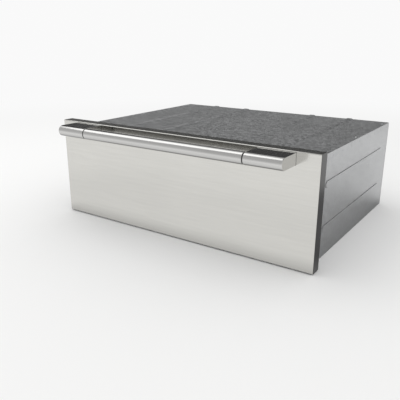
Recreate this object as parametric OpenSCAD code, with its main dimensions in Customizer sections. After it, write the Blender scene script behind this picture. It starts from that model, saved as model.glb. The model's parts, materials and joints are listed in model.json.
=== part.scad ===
// Built-in warming drawer: a heated steel casing, a full-extension drawer with a
// deep-drawn tub on ball-bearing slides, and a folded front with a round bar handle.
// Millimetres. +Z is up, the front faces -Y, X = 0 is the middle of the width,
// Z = 0 is the underside of the base, and Y = 0 is the middle of the overall depth.

/* [Drawer front] */
// Width of the front
front_w = 758; // [752:1:800]
// Height of the front
front_h = 265; // [262:1:285]
// Thickness of the folded front
front_t = 30; // [26:1:36]
// Height of the front's lower edge over the base
front_lift = 3; // [2:0.5:8]

/* [Handle] */
// Diameter of the bar and height of its end blocks
bar_d = 28; // [26:1:32]
// How far the handle stands out from the front
handle_proj = 68; // [64:1:80]
// Length of the handle over both end blocks
handle_span = 648; // [600:2:700]
// Length of one end block
block_len = 89; // [80:0.5:110]
// Width of the dark collar between bar and block
collar_w = 3; // [2:0.5:5]
// Gap from the blocks' flat top down from the front's top edge
handle_drop = 2.3; // [0:0.1:4]

/* [Casing] */
// Width of the casing
casing_w = 715; // [710:1:724]
// Height of the casing
casing_h = 250; // [248:1:262]
// Depth of the casing behind the front
casing_d = 545; // [540:1:600]
// Thickness of the steel sheet
sheet = 1.2; // [1:0.1:1.4]

/* [Slides and tub] */
// Closed length of the slides
slide_len = 500; // [490:1:504]
// Full-extension travel of the drawer
travel = 480; // [400:5:485]
// Depth of the tub under its rim
tub_deep = 119; // [90:1:122]
// Number of balls in one row
balls_per_row = 10; // [6:1:11]

/* [Hidden] */
$fn = 48;
hull_fn = 32;
bend_steps = 5;

// --- Places along the depth -------------------------------------------------
seal_gap = 4.8;                       // room for the seal between front and casing
rear_box = 26;                        // depth of the supply box behind the casing
panel_back = front_t + sheet;         // from the front face to the inner panel's rear
overall_d = handle_proj + panel_back + seal_gap + casing_d + rear_box;
y_front = handle_proj - overall_d / 2;
y_panel = y_front + panel_back;
y_flange = y_panel + seal_gap;
y_back = y_flange + casing_d;
y_liner = y_back - 33;                // inner face of the cavity's rear wall
y_face = y_flange + 21.4;             // front surface of the recessed fascia

// --- Places across the width ------------------------------------------------
casing_x = casing_w / 2;
flange_out = 15;                      // cabinet flange beside the casing
liner_x = 324;                        // inner face of the cavity's side walls
liner_out = casing_x - sheet;         // where the cavity's front flange ends

// --- Heights ----------------------------------------------------------------
z_front = front_lift;
z_front_top = front_lift + front_h;
z_floor = 26;                         // top of the cavity's floor
z_ceiling = 196;                      // underside of the cavity's roof
z_shelf = z_ceiling + 8.6;            // underside of the fascia's recess
z_roof = 238;                         // roof of the fascia's recess
z_control = (z_shelf + z_roof) / 2;   // centre line of the controls
z_slide = 120;                        // centre line of the slides
z_rail_top = 178;                     // where the tub's rim rests
fan_z = 110;
bolt_x = casing_x + 7.5;              // cabinet screw holes
bolt_z_low = 40;
bolt_z_high = 210;
bolt_r = 2.5;

// --- Handle -----------------------------------------------------------------
bar_r = bar_d / 2;
handle_y = y_front - handle_proj + bar_r;
handle_z = z_front_top - handle_drop - bar_r;
block_x = handle_span / 2 - block_len;   // inner end of a block
bar_bore_r = bar_r - 2.5;
spigot = 16;                             // how far a collar reaches into bar and block
collar_edge = 0.6;                       // rounding of bar and blocks beside a collar
bolt_pitch = 46;                         // spacing of the two bolts in a block

// --- Slide section: u runs from the casing to the drawer, v runs up ----------
slide_t = 12.7;                       // width of the closed slide
slide_sheet = 1;
ball_r = 1.6;
race_r = 2.3;                         // middle line of the steel round a ball
curl_r = 0.9;                         // middle line of the small bends
web_outer = slide_sheet / 2;
web_middle = 2.9;
row_outer = [web_middle + curl_r + (race_r + curl_r) * cos(45), 19.7];
row_inner = row_outer + 2 * race_r * [cos(50), -sin(50)];
cage_sheet = 0.6;
ball_pitch = 18;
cage_len = ball_pitch * balls_per_row;
y_slide = y_flange + 6;               // front end of the fixed member
middle_len = slide_len - 30;

// --- Tub --------------------------------------------------------------------
tub_x = 294;                          // outer wall at the rim
tub_y0 = y_flange + 16;
tub_y1 = tub_y0 + 448;
tub_rim = 15;
tub_sheet = 1.2;
tub_corner_r = 40;
tub_base_r = 20;
tub_draft = 5;

// --- Small pieces -----------------------------------------------------------
gasket_w = 8;
screw_r = 2;
steel = [0.74, 0.75, 0.76];
bright = [0.83, 0.83, 0.82];
galvanised = [0.62, 0.65, 0.67];
black = [0.09, 0.09, 0.1];

// === General shapes =========================================================

// Points along an arc about c
function arc(c, r, a0, a1, n) =
  [for (i = [0 : n]) let (a = n == 0 ? a0 : a0 + (a1 - a0) * i / n) c + r * [cos(a), sin(a)]];

// One side of a folded strip, off to the left of its middle line.
// A bend is [centre, radius, first angle, last angle]; radius 0 is a cut end.
function strip_side(bends, off) =
  [for (b = bends)
    for (p = arc(b[0], b[1] + (b[3] >= b[2] ? -off : off), b[2], b[3], b[1] == 0 ? 0 : bend_steps))
      p];

function reversed(list) = [for (i = [len(list) - 1 : -1 : 0]) list[i]];

// A cut end at p, for a strip that runs along dir there
function cut_end(p, dir) = let (a = atan2(dir[1], dir[0]) - 90) [p, 0, a, a];

// The bend of radius r that rounds the corner p1 between p0 and p2
function bend_at(p0, p1, p2, r) =
  let (
    d1 = (p1 - p0) / norm(p1 - p0),
    d2 = (p2 - p1) / norm(p2 - p1),
    side = sign(d1[0] * d2[1] - d1[1] * d2[0]),
    turn = acos(d1 * d2),
    inward = side * [-d1[1], d1[0]],
    c = p1 - d1 * r * tan(turn / 2) + inward * r,
    a0 = atan2(-inward[1], -inward[0])
  ) [c, r, a0, a0 + side * turn];

// Bends of a sheet folded along the corner points pts
function fold(pts, r) =
  let (n = len(pts) - 1) concat(
    [cut_end(pts[0], pts[1] - pts[0])],
    [for (i = [1 : n - 1]) bend_at(pts[i - 1], pts[i], pts[i + 1], r)],
    [cut_end(pts[n], pts[n] - pts[n - 1])]);

// The same bends mirrored in v = 0 and run backwards, for a symmetric section
function mirrored(bends) =
  [for (b = reversed(bends)) [[b[0][0], -b[0][1]], b[1], -b[3], -b[2]]];

// Section of a folded strip of thickness t
module strip(bends, t) {
  polygon(concat(strip_side(bends, t / 2), reversed(strip_side(bends, -t / 2))));
}

// A section drawn in X and Z, run along Y from y0 to y1
module along_y(y0, y1) {
  translate([0, y1, 0])
    rotate([90, 0, 0])
      linear_extrude(y1 - y0)
        children();
}

// A section drawn in Y and Z, run along X from x0 to x1
module along_x(x0, x1) {
  translate([x0, 0, 0])
    rotate([90, 0, 90])
      linear_extrude(x1 - x0)
        children();
}

// A section drawn in X and Y, run along Z from z0 to z1
module along_z(z0, z1) {
  translate([0, 0, z0])
    linear_extrude(z1 - z0)
      children();
}

// A box between two corners
module block(low, high) {
  translate(low)
    cube(high - low);
}

// A rectangle about the origin with round corners
module round_rect(w, h, r) {
  square([w - 2 * r, h], center = true);
  square([w, h - 2 * r], center = true);
  for (x = [-1, 1], y = [-1, 1])
    translate([x * (w / 2 - r), y * (h / 2 - r)])
      circle(r);
}

// A slot about the origin, long across
module slot(w, h) {
  square([w - h, h], center = true);
  for (x = [-1, 1])
    translate([x * (w - h) / 2, 0])
      circle(h / 2);
}

// A cylinder along +Y from p
module rod_y(p, r, length) {
  translate(p)
    rotate([-90, 0, 0])
      cylinder(h = length, r = r);
}

// A cylinder along +X from p
module rod_x(p, r, length) {
  translate(p)
    rotate([0, 90, 0])
      cylinder(h = length, r = r);
}

// Puts children at p, with their X and Y along the unit vectors ex and ey
module placed(p, ex, ey) {
  ez = cross(ex, ey);
  multmatrix([
    [ex[0], ey[0], ez[0], p[0]],
    [ex[1], ey[1], ez[1], p[1]],
    [ex[2], ey[2], ez[2], p[2]],
    [0, 0, 0, 1]
  ])
    children();
}

function unit(v) = v / norm(v);

// How much of a straight a corner of radius bend uses up
function setback(pts, i, bend) =
  i == 0 || i == len(pts) - 1 ? 0 :
  bend * tan(acos(unit(pts[i] - pts[i - 1]) * unit(pts[i + 1] - pts[i])) / 2);

// Any unit vector square to d
function square_to(d) = unit(cross(d, abs(d[2]) < 0.9 ? [0, 0, 1] : [1, 0, 0]));

// A bent rod or tube along pts
module bent_rod(pts, r, bend) {
  for (i = [0 : len(pts) - 2]) {
    d = unit(pts[i + 1] - pts[i]);
    p = pts[i] + d * setback(pts, i, bend);
    q = pts[i + 1] - d * setback(pts, i + 1, bend);
    ex = square_to(d);
    placed(p, ex, cross(d, ex))
      cylinder(h = norm(q - p), r = r);
  }
  for (i = [1 : len(pts) - 2]) {
    d1 = unit(pts[i] - pts[i - 1]);
    d2 = unit(pts[i + 1] - pts[i]);
    n = unit(d2 - (d2 * d1) * d1);
    c = pts[i] - d1 * setback(pts, i, bend) + n * bend;
    placed(c, -n, d1)
      rotate_extrude(angle = acos(d1 * d2))
        translate([bend, 0])
          circle(r);
  }
}

// Mirrors what follows to the other side: s is -1 on the left, 1 on the right
module to_side(s) {
  mirror([s < 0 ? 1 : 0, 0, 0])
    children();
}

// A pan-head screw whose head stands out along -Z of its own frame
module screw(length, head_r = 4, head_h = 2) {
  cylinder(h = length, r = screw_r);
  translate([0, 0, -head_h])
    cylinder(h = head_h, r1 = head_r * 0.7, r2 = head_r);
}

// === Casing =================================================================

// Middle line of a flat sheet with pressed beads that rise by rise
function beaded(x0, x1, z, beads, half, rise) =
  concat([[x0, z]],
    [for (b = beads)
      for (p = [[-half, 0], [-half * 0.55, rise], [half * 0.55, rise], [half, 0]]) [b + p[0], z + p[1]]],
    [[x1, z]]);

bead_at = [-240, -120, 120, 240];
bead_half = 11;
bead_rise = 2.2;
lip = 15;                             // width of the folded lips inside the casing
lip_x = casing_x - sheet - lip / 2;   // middle of those lips
cover_screw_y = [y_flange + 60, (y_flange + y_back) / 2, y_back - 40];
back_screw_z = [45, 125, 205];

module base_pan() {
  color(galvanised)
    along_y(y_flange, y_back - sheet)
      strip(fold(beaded(-casing_x, casing_x, sheet / 2, bead_at, bead_half, bead_rise), 2), sheet);
}

module top_cover() {
  color(galvanised)
    difference() {
      along_y(y_flange, y_back - sheet)
        strip(fold(beaded(-casing_x, casing_x, casing_h - sheet / 2, bead_at, bead_half, bead_rise), 2), sheet);
      for (x = [-lip_x, lip_x], y = cover_screw_y)
        translate([x, y, casing_h - 2 * sheet])
          cylinder(h = 3 * sheet, r = screw_r);
    }
}

side_bead_z = [72, 178];              // pressed beads along each side panel
side_bead = [430, 16];
side_bead_out = 1.6;

// One side panel: cabinet flange in front, lips at the back, top and bottom
module side_panel(s) {
  x_mid = casing_x - sheet / 2;
  y_side_bead = (y_flange + y_back) / 2;
  color(galvanised)
    to_side(s)
      difference() {
        union() {
          along_z(sheet, casing_h - sheet)
            strip(fold([
              [casing_x + flange_out, y_flange + sheet / 2],
              [x_mid, y_flange + sheet / 2],
              [x_mid, y_back - 1.5 * sheet],
              [casing_x - sheet - lip, y_back - 1.5 * sheet]], 1.6), sheet);
          for (z = [sheet, casing_h - 2 * sheet])
            block([casing_x - sheet - lip, y_flange + 24, z], [casing_x - sheet / 2, y_back - 6, z + sheet]);
          for (z = side_bead_z)
            along_x(casing_x - sheet, casing_x + side_bead_out)
              translate([y_side_bead, z])
                slot(side_bead[0], side_bead[1]);
        }
        for (z = side_bead_z)
          along_x(casing_x - sheet - 1, casing_x + side_bead_out - sheet)
            translate([y_side_bead, z])
              slot(side_bead[0] - 2 * sheet, side_bead[1] - 2 * sheet);
        for (z = [bolt_z_low, bolt_z_high])
          rod_y([bolt_x, y_flange - 1, z], bolt_r, 4);
        for (y = cover_screw_y)
          translate([lip_x, y, casing_h - 3 * sheet])
            cylinder(h = 4 * sheet, r = screw_r);
        for (z = back_screw_z)
          rod_y([lip_x, y_back - 4 * sheet, z], screw_r, 5 * sheet);
      }
}

vent_rows = 6;
vent_pitch = 11;
vent_slot = [46, 4.4];
supply_x = 262;                       // middle of the supply box on the back
supply_z = 62;

// Back panel with two fields of vent slots and the supply opening
module back_panel() {
  color(galvanised)
    difference() {
      along_y(y_back - sheet, y_back)
        translate([0, casing_h / 2])
          round_rect(casing_w, casing_h, 3);
      for (x = [-190, -130, 110, 170], i = [0 : vent_rows - 1])
        along_y(y_back - 2 * sheet, y_back + sheet)
          translate([x, 150 + i * vent_pitch])
            slot(vent_slot[0], vent_slot[1]);
      for (x = [-lip_x, lip_x], z = back_screw_z)
        rod_y([x, y_back - 2 * sheet, z], screw_r, 4 * sheet);
      rod_y([supply_x, y_back - 2 * sheet, supply_z + 12], 8, 4 * sheet);
    }
}

knob_x = 250;
lamp_x = 205;
rocker_x = 160;
shutter_slots = [-50, -25, 0, 25, 50];
shutter_slot = [11, 9];
shutter_travel = 12;
guide_x = 62.5;                       // guide rivets beside the shutter's slots
guide_r = 1.6;

// Recessed control fascia and top rail, folded from one sheet
module control_fascia() {
  color(steel)
    difference() {
      union() {
        along_x(-liner_x, liner_x)
          strip(fold([
            [y_flange + 22, casing_h - 1.5 * sheet],
            [y_flange + sheet / 2, casing_h - 1.5 * sheet],
            [y_flange + sheet / 2, z_roof],
            [y_face + sheet / 2, z_roof],
            [y_face + sheet / 2, z_shelf + sheet / 2],
            [y_flange, z_shelf + sheet / 2]], 1.5), sheet);
        for (s = [-1, 1])
          to_side(s)
            block([liner_x - sheet, y_flange + 1, z_shelf + sheet / 2], [liner_x, y_face + 0.4, z_roof]);
      }
      rod_y([knob_x, y_face - 1, z_control], 4.5, 4);
      rod_y([lamp_x, y_face - 1, z_control], 4, 4);
      block([rocker_x - 8.5, y_face - 1, z_control - 12], [rocker_x + 8.5, y_face + 3, z_control + 12]);
      for (x = shutter_slots)
        along_y(y_face - 1, y_face + 3)
          translate([x, z_control])
            round_rect(shutter_slot[0], shutter_slot[1], 2);
      for (x = [-guide_x, guide_x])
        rod_y([x, y_face - 1, z_control], guide_r, 4);
    }
}

// === Heated cavity ==========================================================

element_r = 3.25;
element_z = 34;
element_x = 165;
element_y0 = y_flange + 60;
element_y1 = y_liner - 60;
bush_r = 7;

module liner_floor() {
  color(steel)
    along_x(-liner_x, liner_x)
      strip(fold([
        [y_flange + sheet / 2, 4],
        [y_flange + sheet / 2, z_floor - sheet / 2],
        [y_liner, z_floor - sheet / 2]], 1.6), sheet);
}

// Cavity roof, with a row of slots that lead moist air to the fascia's vent
module liner_top() {
  color(steel)
    difference() {
      along_x(-liner_x, liner_x)
        strip(fold([
          [y_flange + sheet / 2, z_shelf],
          [y_flange + sheet / 2, z_ceiling + sheet / 2],
          [y_liner, z_ceiling + sheet / 2]], 1.6), sheet);
      for (x = [-60 : 20 : 60])
        along_z(z_ceiling - 1, z_ceiling + 3)
          translate([x, y_flange + 40])
            slot(14, 6);
      translate([probe_x, probe_y, z_ceiling - 1])
        cylinder(h = 4, r = 2);
    }
}

slide_holes = [24, 152, 312, 468];    // screw holes along a slide member

// Plan of a side wall folded from the casing inwards, then back to y1
module liner_side_plan(y1) {
  strip(fold([
    [liner_out, y_flange + sheet / 2],
    [liner_x + sheet / 2, y_flange + sheet / 2],
    [liner_x + sheet / 2, y1]], 1.6), sheet);
}

// Side wall of the cavity; its front flange closes the whole height of the casing
module liner_side(s) {
  color(steel)
    to_side(s)
      difference() {
        union() {
          along_z(z_floor - sheet, z_ceiling + sheet)
            liner_side_plan(y_liner + sheet);
          along_z(sheet, casing_h - sheet)
            liner_side_plan(y_flange + 18);
        }
        for (y = slide_holes)
          rod_x([liner_x - 1, y_slide + y, z_slide], screw_r, 4);
      }
}

// Rear wall, with holes for the fan shaft and the element's ends
module liner_back() {
  color(steel)
    difference() {
      block([-liner_x, y_liner, z_floor - sheet], [liner_x, y_liner + sheet, z_ceiling + sheet]);
      rod_y([0, y_liner - 1, fan_z], 6, 4);
      for (x = [-element_x, element_x])
        rod_y([x, y_liner - 1, element_z], bush_r, 4);
    }
}

wool_gap = 0.4;

// Mineral wool round the cavity's floor, sides and roof
module insulation_blanket() {
  x_in = liner_x + sheet + wool_gap;
  x_out = casing_x - sheet - wool_gap;
  color([0.86, 0.82, 0.66])
    along_y(y_flange + 66, y_liner)
      difference() {
        translate([-x_out, 5])
          square([2 * x_out, z_roof - 5]);
        translate([-x_in, z_floor - sheet - wool_gap])
          square([2 * x_in, z_ceiling - z_floor + 2 * sheet + 2 * wool_gap]);
      }
}

element_path = [
  [-element_x, y_liner + 12, element_z], [-element_x, element_y0, element_z],
  [-element_x / 3, element_y0, element_z], [-element_x / 3, element_y1, element_z],
  [element_x / 3, element_y1, element_z], [element_x / 3, element_y0, element_z],
  [element_x, element_y0, element_z], [element_x, y_liner + 12, element_z]
];

// Bent tubular element with a ceramic bush and a pin at each end
module heating_element() {
  color([0.28, 0.29, 0.27])
    bent_rod(element_path, element_r, 28);
  color("white")
    for (x = [-element_x, element_x])
      difference() {
        union() {
          rod_y([x, y_liner - 2, element_z], bush_r + 1, 2);
          rod_y([x, y_liner - 2, element_z], bush_r, 12);
        }
        rod_y([x, y_liner - 3, element_z], element_r, 14);
      }
}

// Saddles that hold the element over the floor
module element_clips() {
  color(steel)
    for (x = [-element_x, -element_x / 3, element_x / 3, element_x], y = [element_y0 + 70, element_y1 - 70])
      difference() {
        block([x - 7, y - 6, z_floor], [x + 7, y + 6, element_z + 1]);
        rod_y([x, y - 7, element_z], element_r, 14);
        block([x - element_r, y - 7, element_z], [x + element_r, y + 7, element_z + 2]);
      }
}

shaft_r = 3;
wheel_r = 50;
wheel_y = y_liner - 22;               // front of the fan wheel

// Flat shaded-pole motor behind the cavity's rear wall
module fan_motor() {
  color(galvanised)
    difference() {
      union() {
        along_y(y_liner + sheet + 6, y_liner + sheet + 24)
          translate([0, fan_z])
            round_rect(62, 54, 6);
        rod_y([0, y_liner + sheet, fan_z], 11, 8);
        for (x = [-24, 24])
          rod_y([x, y_liner + sheet, fan_z], 3.5, 8);
        rod_y([0, y_liner + sheet + 20, fan_z], 9, 8);
      }
      rod_y([0, y_liner, fan_z], shaft_r + 0.05, 22);
    }
}

baffle_w = 220;
baffle_h = 124;
baffle_d = 28;
baffle_holes = 16;

// Pressed cover over the fan wheel, with rings of round holes
module fan_baffle() {
  color(steel)
    difference() {
      union() {
        along_y(y_liner - baffle_d, y_liner)
          translate([0, fan_z])
            round_rect(baffle_w, baffle_h, 14);
        along_y(y_liner - sheet, y_liner)
          translate([0, fan_z])
            round_rect(baffle_w + 24, baffle_h + 16, 18);
      }
      along_y(y_liner - baffle_d + sheet, y_liner + 1)
        translate([0, fan_z])
          round_rect(baffle_w - 2 * sheet, baffle_h - 2 * sheet, 14 - sheet);
      for (ring = [0 : 2], i = [0 : baffle_holes - 1])
        let (a = (i + ring / 2) * 360 / baffle_holes, r = 20 + 11 * ring)
          rod_y([r * cos(a), y_liner - baffle_d - 1, fan_z + r * sin(a)], 3, 4);
      for (x = [-88, 88], z = [-36 : 18 : 36])
        along_y(y_liner - baffle_d - 1, y_liner - baffle_d + 3)
          translate([x, fan_z + z])
            slot(26, 6);
    }
}

// Backward-curved blades on a disc, with the shaft that the motor carries
module fan_wheel() {
  blades = 12;
  color(steel)
    translate([0, wheel_y, fan_z])
      rotate([-90, 0, 0]) {
        linear_extrude(14)
          for (i = [0 : blades - 1])
            rotate(i * 360 / blades)
              strip([[[wheel_r - 14, -20], 20, 60, 130]], 0.9);
        translate([0, 0, 13])
          cylinder(h = 1, r = wheel_r - 1);
        cylinder(h = 14, r = 9);
        cylinder(h = 22 + sheet + 18, r = shaft_r);
      }
}

// Disc thermostat that cuts the heat if the cavity gets too hot
module thermal_cutout() {
  color(black)
    translate([-110, y_liner + sheet, 160])
      rotate([-90, 0, 0]) {
        linear_extrude(1.5)
          slot(34, 12);
        cylinder(h = 11, r = 8);
        for (x = [-4, 4])
          translate([x - 0.4, -2.5, 10])
            cube([0.8, 5, 9]);
      }
}

// === Controls ===============================================================

knob_shaft_r = 3;

// Capillary thermostat behind the fascia
module thermostat_body() {
  color([0.75, 0.72, 0.62])
    difference() {
      union() {
        along_y(y_face + sheet + 2, y_face + sheet + 26)
          translate([knob_x, z_control])
            round_rect(40, 30, 3);
        rod_y([knob_x, y_face, z_control], 4.5, 6);
      }
      rod_y([knob_x, y_face - 2, z_control], knob_shaft_r + 0.05, 16);
    }
}

probe_x = liner_x - 9;
probe_z = 182;
probe_y = y_flange + 58;              // where the capillary drops into the cavity
probe_clip_y = [y_flange + 120, y_flange + 200];

// Bulb on the cavity's wall, its clips, and the capillary to the thermostat
module sensor_probe() {
  color("tan") {
    rod_y([probe_x, y_flange + 105, probe_z], 3, 110);
    bent_rod([
      [knob_x + 12, y_face + sheet + 26, z_control - 8], [knob_x + 12, probe_y, z_control - 8],
      [probe_x, probe_y, z_control - 8], [probe_x, probe_y, probe_z],
      [probe_x, y_flange + 105, probe_z]], 1, 5);
    for (y = probe_clip_y)
      block([probe_x + 2.6, y, probe_z - 5], [liner_x, y + 8, probe_z + 5]);
  }
}

rocker_r = 1.5;                       // pivot pins of the rocker
rocker_w = 13;
rocker_pivot = [y_face + 2, z_control];

// Switch housing with the bezel that the rocker sits in
module switch_body() {
  color(black)
    difference() {
      union() {
        along_y(y_face - 2, y_face)
          translate([rocker_x, z_control])
            round_rect(20, 28, 1.5);
        block([rocker_x - 8.5, y_face - 1, z_control - 12], [rocker_x + 8.5, y_face + 22, z_control + 12]);
        for (z = [-7, 0, 7])
          block([rocker_x - 3, y_face + 21, z_control + z - 0.4], [rocker_x + 3, y_face + 29, z_control + z + 0.4]);
      }
      block([rocker_x - rocker_w / 2 - 0.4, y_face - 3, z_control - 10.6],
        [rocker_x + rocker_w / 2 + 0.4, y_face + 14, z_control + 10.6]);
      rod_x([rocker_x - 8, rocker_pivot[0], z_control], rocker_r + 0.05, 16);
    }
}

rocker_tilt = 8;                      // lean at rest, which is off

// Rocker key with two shallow dished faces, and its pivot pins
module power_rocker() {
  color(black)
    translate([rocker_x, rocker_pivot[0], z_control])
      rotate([rocker_tilt, 0, 0]) {
        along_x(-rocker_w / 2, rocker_w / 2)
          polygon(concat(
            [[-6.4, -9.3]],
            arc([-24, -4.65], 18.2, -14, 14, 6),
            [[-5.6, 0]],
            arc([-24, 4.65], 18.2, -14, 14, 6),
            [[-6.4, 9.3], [0, 9.3], [5, 5], [5, -5], [0, -9.3]]));
        rod_x([-7.5, 0, 0], rocker_r, 15);
      }
}

// Pilot lamp: domed lens with a barrel through the fascia
module pilot_lens() {
  color([0.9, 0.35, 0.1])
    translate([lamp_x, y_face, z_control])
      rotate([90, 0, 0]) {
        translate([0, 0, -18])
          cylinder(h = 18, r = 4);
        rotate_extrude()
          polygon(concat([[0, 0]], arc([0, -7 * sin(40)], 7, 40, 90, 6)));
      }
}

knob_r = 12.5;
knob_h = 12;
knob_flutes = 24;

// Fluted knob with a raised pointer, on the spindle that turns in the thermostat
module thermostat_knob() {
  color(black)
    translate([knob_x, y_face - 1.4, z_control])
      rotate([90, 0, 0]) {
        difference() {
          rotate_extrude()
            polygon(concat(
              [[0, 0], [knob_r, 0]],
              arc([knob_r - 1, 1.6], 1, 0, 60, 3),
              arc([knob_r - 3.2, knob_h - 1.2], 1.2, 0, 90, 4),
              [[0, knob_h]]));
          for (i = [0 : knob_flutes - 1])
            rotate(i * 360 / knob_flutes)
              translate([knob_r - 1.3, 0, 3.4])
                cylinder(h = knob_h, r = 0.8);
        }
        translate([-0.8, 2, knob_h - 0.2])
          cube([1.6, knob_r - 5.4, 0.8]);
        translate([0, 0, -14])
          cylinder(h = 15, r = knob_shaft_r);
      }
}

shutter_y = y_face - 1.5;             // front of the shutter plate
shutter_h = 16;

// Sliding plate over the vent slots, with a thumb tab and two guide slots
module vent_shutter() {
  color(steel)
    difference() {
      union() {
        along_y(shutter_y, shutter_y + 1.2)
          translate([0, z_control])
            round_rect(150, shutter_h, 3);
        along_z(z_control - 5, z_control + 5)
          strip(fold([[-62, shutter_y + 0.6], [-80, shutter_y + 0.6], [-80, shutter_y - 9]], 1.4), 1.2);
      }
      for (x = shutter_slots)
        along_y(shutter_y - 1, shutter_y + 2)
          translate([x - shutter_travel, z_control])
            round_rect(shutter_slot[0], shutter_slot[1], 2);
      for (x = [-guide_x, guide_x])
        along_y(shutter_y - 1, shutter_y + 2)
          translate([x - shutter_travel / 2, z_control])
            slot(shutter_travel + 2 * guide_r + 0.8, 2 * guide_r + 0.8);
    }
}

// === Supply =================================================================

// Mains terminal block inside the supply box
module terminal_block() {
  color("ivory")
    difference() {
      block([supply_x - 22, y_back, supply_z - 14], [supply_x + 22, y_back + 14, supply_z + 2]);
      for (x = [-14, 0, 14])
        rod_y([supply_x + x, y_back + 6, supply_z - 6], 3, 10);
    }
}

supply_w = 74;
supply_h = 58;
gland_r = 8;
gland_z = supply_z + 8;
gland_y = y_back + 13;

// Folded cover of the supply box, with the gland's hole in its side
module terminal_cover() {
  color(galvanised)
    difference() {
      along_y(y_back, y_back + rear_box)
        translate([supply_x, supply_z])
          round_rect(supply_w, supply_h, 4);
      along_y(y_back - 1, y_back + rear_box - sheet)
        translate([supply_x, supply_z])
          round_rect(supply_w - 2 * sheet, supply_h - 2 * sheet, 4 - sheet);
      rod_x([supply_x - supply_w / 2 - 1, gland_y, gland_z], gland_r, 4);
    }
}

// Cable gland: flanged body, ribbed nut and the bore for the supply cord
module cable_gland() {
  x0 = supply_x - supply_w / 2;
  color(black)
    difference() {
      union() {
        rod_x([x0 - 12, gland_y, gland_z], gland_r, 20);
        rod_x([x0 - 4, gland_y, gland_z], gland_r + 2.5, 4);
        rod_x([x0 + sheet, gland_y, gland_z], gland_r + 2, 3);
        translate([x0 - 22, gland_y, gland_z])
          rotate([0, 90, 0])
            cylinder(h = 12, r = gland_r + 2, $fn = 8);
      }
      rod_x([x0 - 23, gland_y, gland_z], 4.5, 33);
    }
}

// Bundle of wires from the supply box over the insulation to the switch
module wiring_loom() {
  z_run = (z_roof + casing_h - sheet) / 2;
  color(black)
    bent_rod([
      [supply_x, y_back + 4, supply_z + 12], [supply_x, y_back - 14, supply_z + 12],
      [supply_x, y_back - 14, z_run], [supply_x, y_face + 38, z_run],
      [rocker_x, y_face + 38, z_run], [rocker_x, y_face + 38, z_control],
      [rocker_x, y_face + 29, z_control]], 3, 4);
}

// Self-tapping screws of the cover, back and slides, and the shutter's rivets
module casing_screws() {
  color("silver") {
    for (x = [-lip_x, lip_x], y = cover_screw_y)
      translate([x, y, casing_h])
        mirror([0, 0, 1])
          screw(5);
    for (x = [-lip_x, lip_x], z = back_screw_z)
      translate([x, y_back, z])
        rotate([90, 0, 0])
          screw(5);
    for (s = [-1, 1], y = slide_holes)
      to_side(s) {
        rod_x([liner_x - slide_sheet, y_slide + y, z_slide], 3, slide_sheet);
        rod_x([liner_x - 0.5, y_slide + y, z_slide], screw_r, 0.5 + sheet + wool_gap);
      }
    for (x = [-guide_x, guide_x]) {
      rod_y([x, shutter_y - 0.2, z_control], guide_r, 4);
      rod_y([x, shutter_y - 1, z_control], 3.2, 0.8);
    }
  }
}

// === Slides =================================================================
// Three nested members roll on two pairs of ball rows. Each member is one strip
// of steel whose edges curl round the balls: the outer member from outside, the
// middle member in an S between both rows, the inner member from inside.

outer_section = [
  [row_outer, race_r, 10, 135],
  [row_outer + (race_r + curl_r) * [cos(135), sin(135)], curl_r, 315, 270],
  [[web_outer + curl_r, row_outer[1] + (race_r + curl_r) * sin(135) - 2 * curl_r], curl_r, 90, 180]
];
middle_section = [
  [row_inner, race_r, 25, 130],
  [row_outer, race_r, 310, 225],
  [row_outer + (race_r + curl_r) * [cos(225), sin(225)], curl_r, 45, 180]
];
inner_section = [
  [row_inner, race_r, 205, 315],
  [row_inner + (race_r + curl_r) * [cos(315), sin(315)], curl_r, 135, 0]
];

// Places a section drawn in u and v on one side of the cavity
module on_side(s, y0, y1) {
  to_side(s)
    translate([liner_x, 0, z_slide])
      mirror([1, 0, 0])
        along_y(y0, y1)
          children();
}

module slide_outer(s) {
  color("silver")
    difference() {
      on_side(s, y_slide, y_slide + slide_len)
        strip(concat(outer_section, mirrored(outer_section)), slide_sheet);
      for (y = slide_holes)
        to_side(s)
          rod_x([liner_x - 2, y_slide + y, z_slide], 3, 4);
    }
}

module slide_middle(s) {
  color("silver")
    on_side(s, y_slide + 15, y_slide + 15 + middle_len)
      strip(concat(middle_section, mirrored(middle_section)), slide_sheet);
}

rail_x = liner_x - slide_t;           // outer face of a drawer rail

module slide_inner(s) {
  color("silver")
    difference() {
      on_side(s, y_slide, y_slide + slide_len - 8)
        strip(concat(inner_section, mirrored(inner_section)), slide_sheet);
      for (y = slide_holes)
        to_side(s)
          rod_x([rail_x - 1, y_slide + y, z_slide], screw_r, 4);
    }
}

// Places of the cages when closed: each stays between its members at full travel
outer_cage_y = y_slide + 28 + travel / 4;
inner_cage_y = y_slide + 40 + travel / 4;

// Centres of the balls in one row, along Y
function ball_ys(y0) = [for (i = [0 : balls_per_row - 1]) y0 + (i + 0.5) * ball_pitch];

// The balls of one cage, rolling in the rows above and below the web
module ball_rows(s, row, y0) {
  to_side(s)
    for (y = ball_ys(y0), k = [-1, 1])
      translate([liner_x - row[0], y, z_slide + k * row[1]])
        sphere(ball_r);
}

// Folded retainer: a plate beside the web with pockets for both rows
module ball_cage(s, row, plate_u, y0) {
  reach = row[0] + 1.3;
  difference() {
    on_side(s, y0, y0 + cage_len)
      strip(fold([
        [reach, row[1]], [plate_u, row[1]], [plate_u, -row[1]], [reach, -row[1]]], 0.7), cage_sheet);
    ball_rows(s, row, y0);
  }
}

module cage_outer(s) {
  color("goldenrod")
    ball_cage(s, row_outer, 1.7, outer_cage_y);
}

module cage_inner(s) {
  color("goldenrod")
    ball_cage(s, row_inner, 4.4, inner_cage_y);
}

module balls_outer(s) {
  color("white")
    ball_rows(s, row_outer, outer_cage_y);
}

module balls_inner(s) {
  color("white")
    ball_rows(s, row_inner, inner_cage_y);
}

// === Drawer front and handle ================================================

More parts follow.
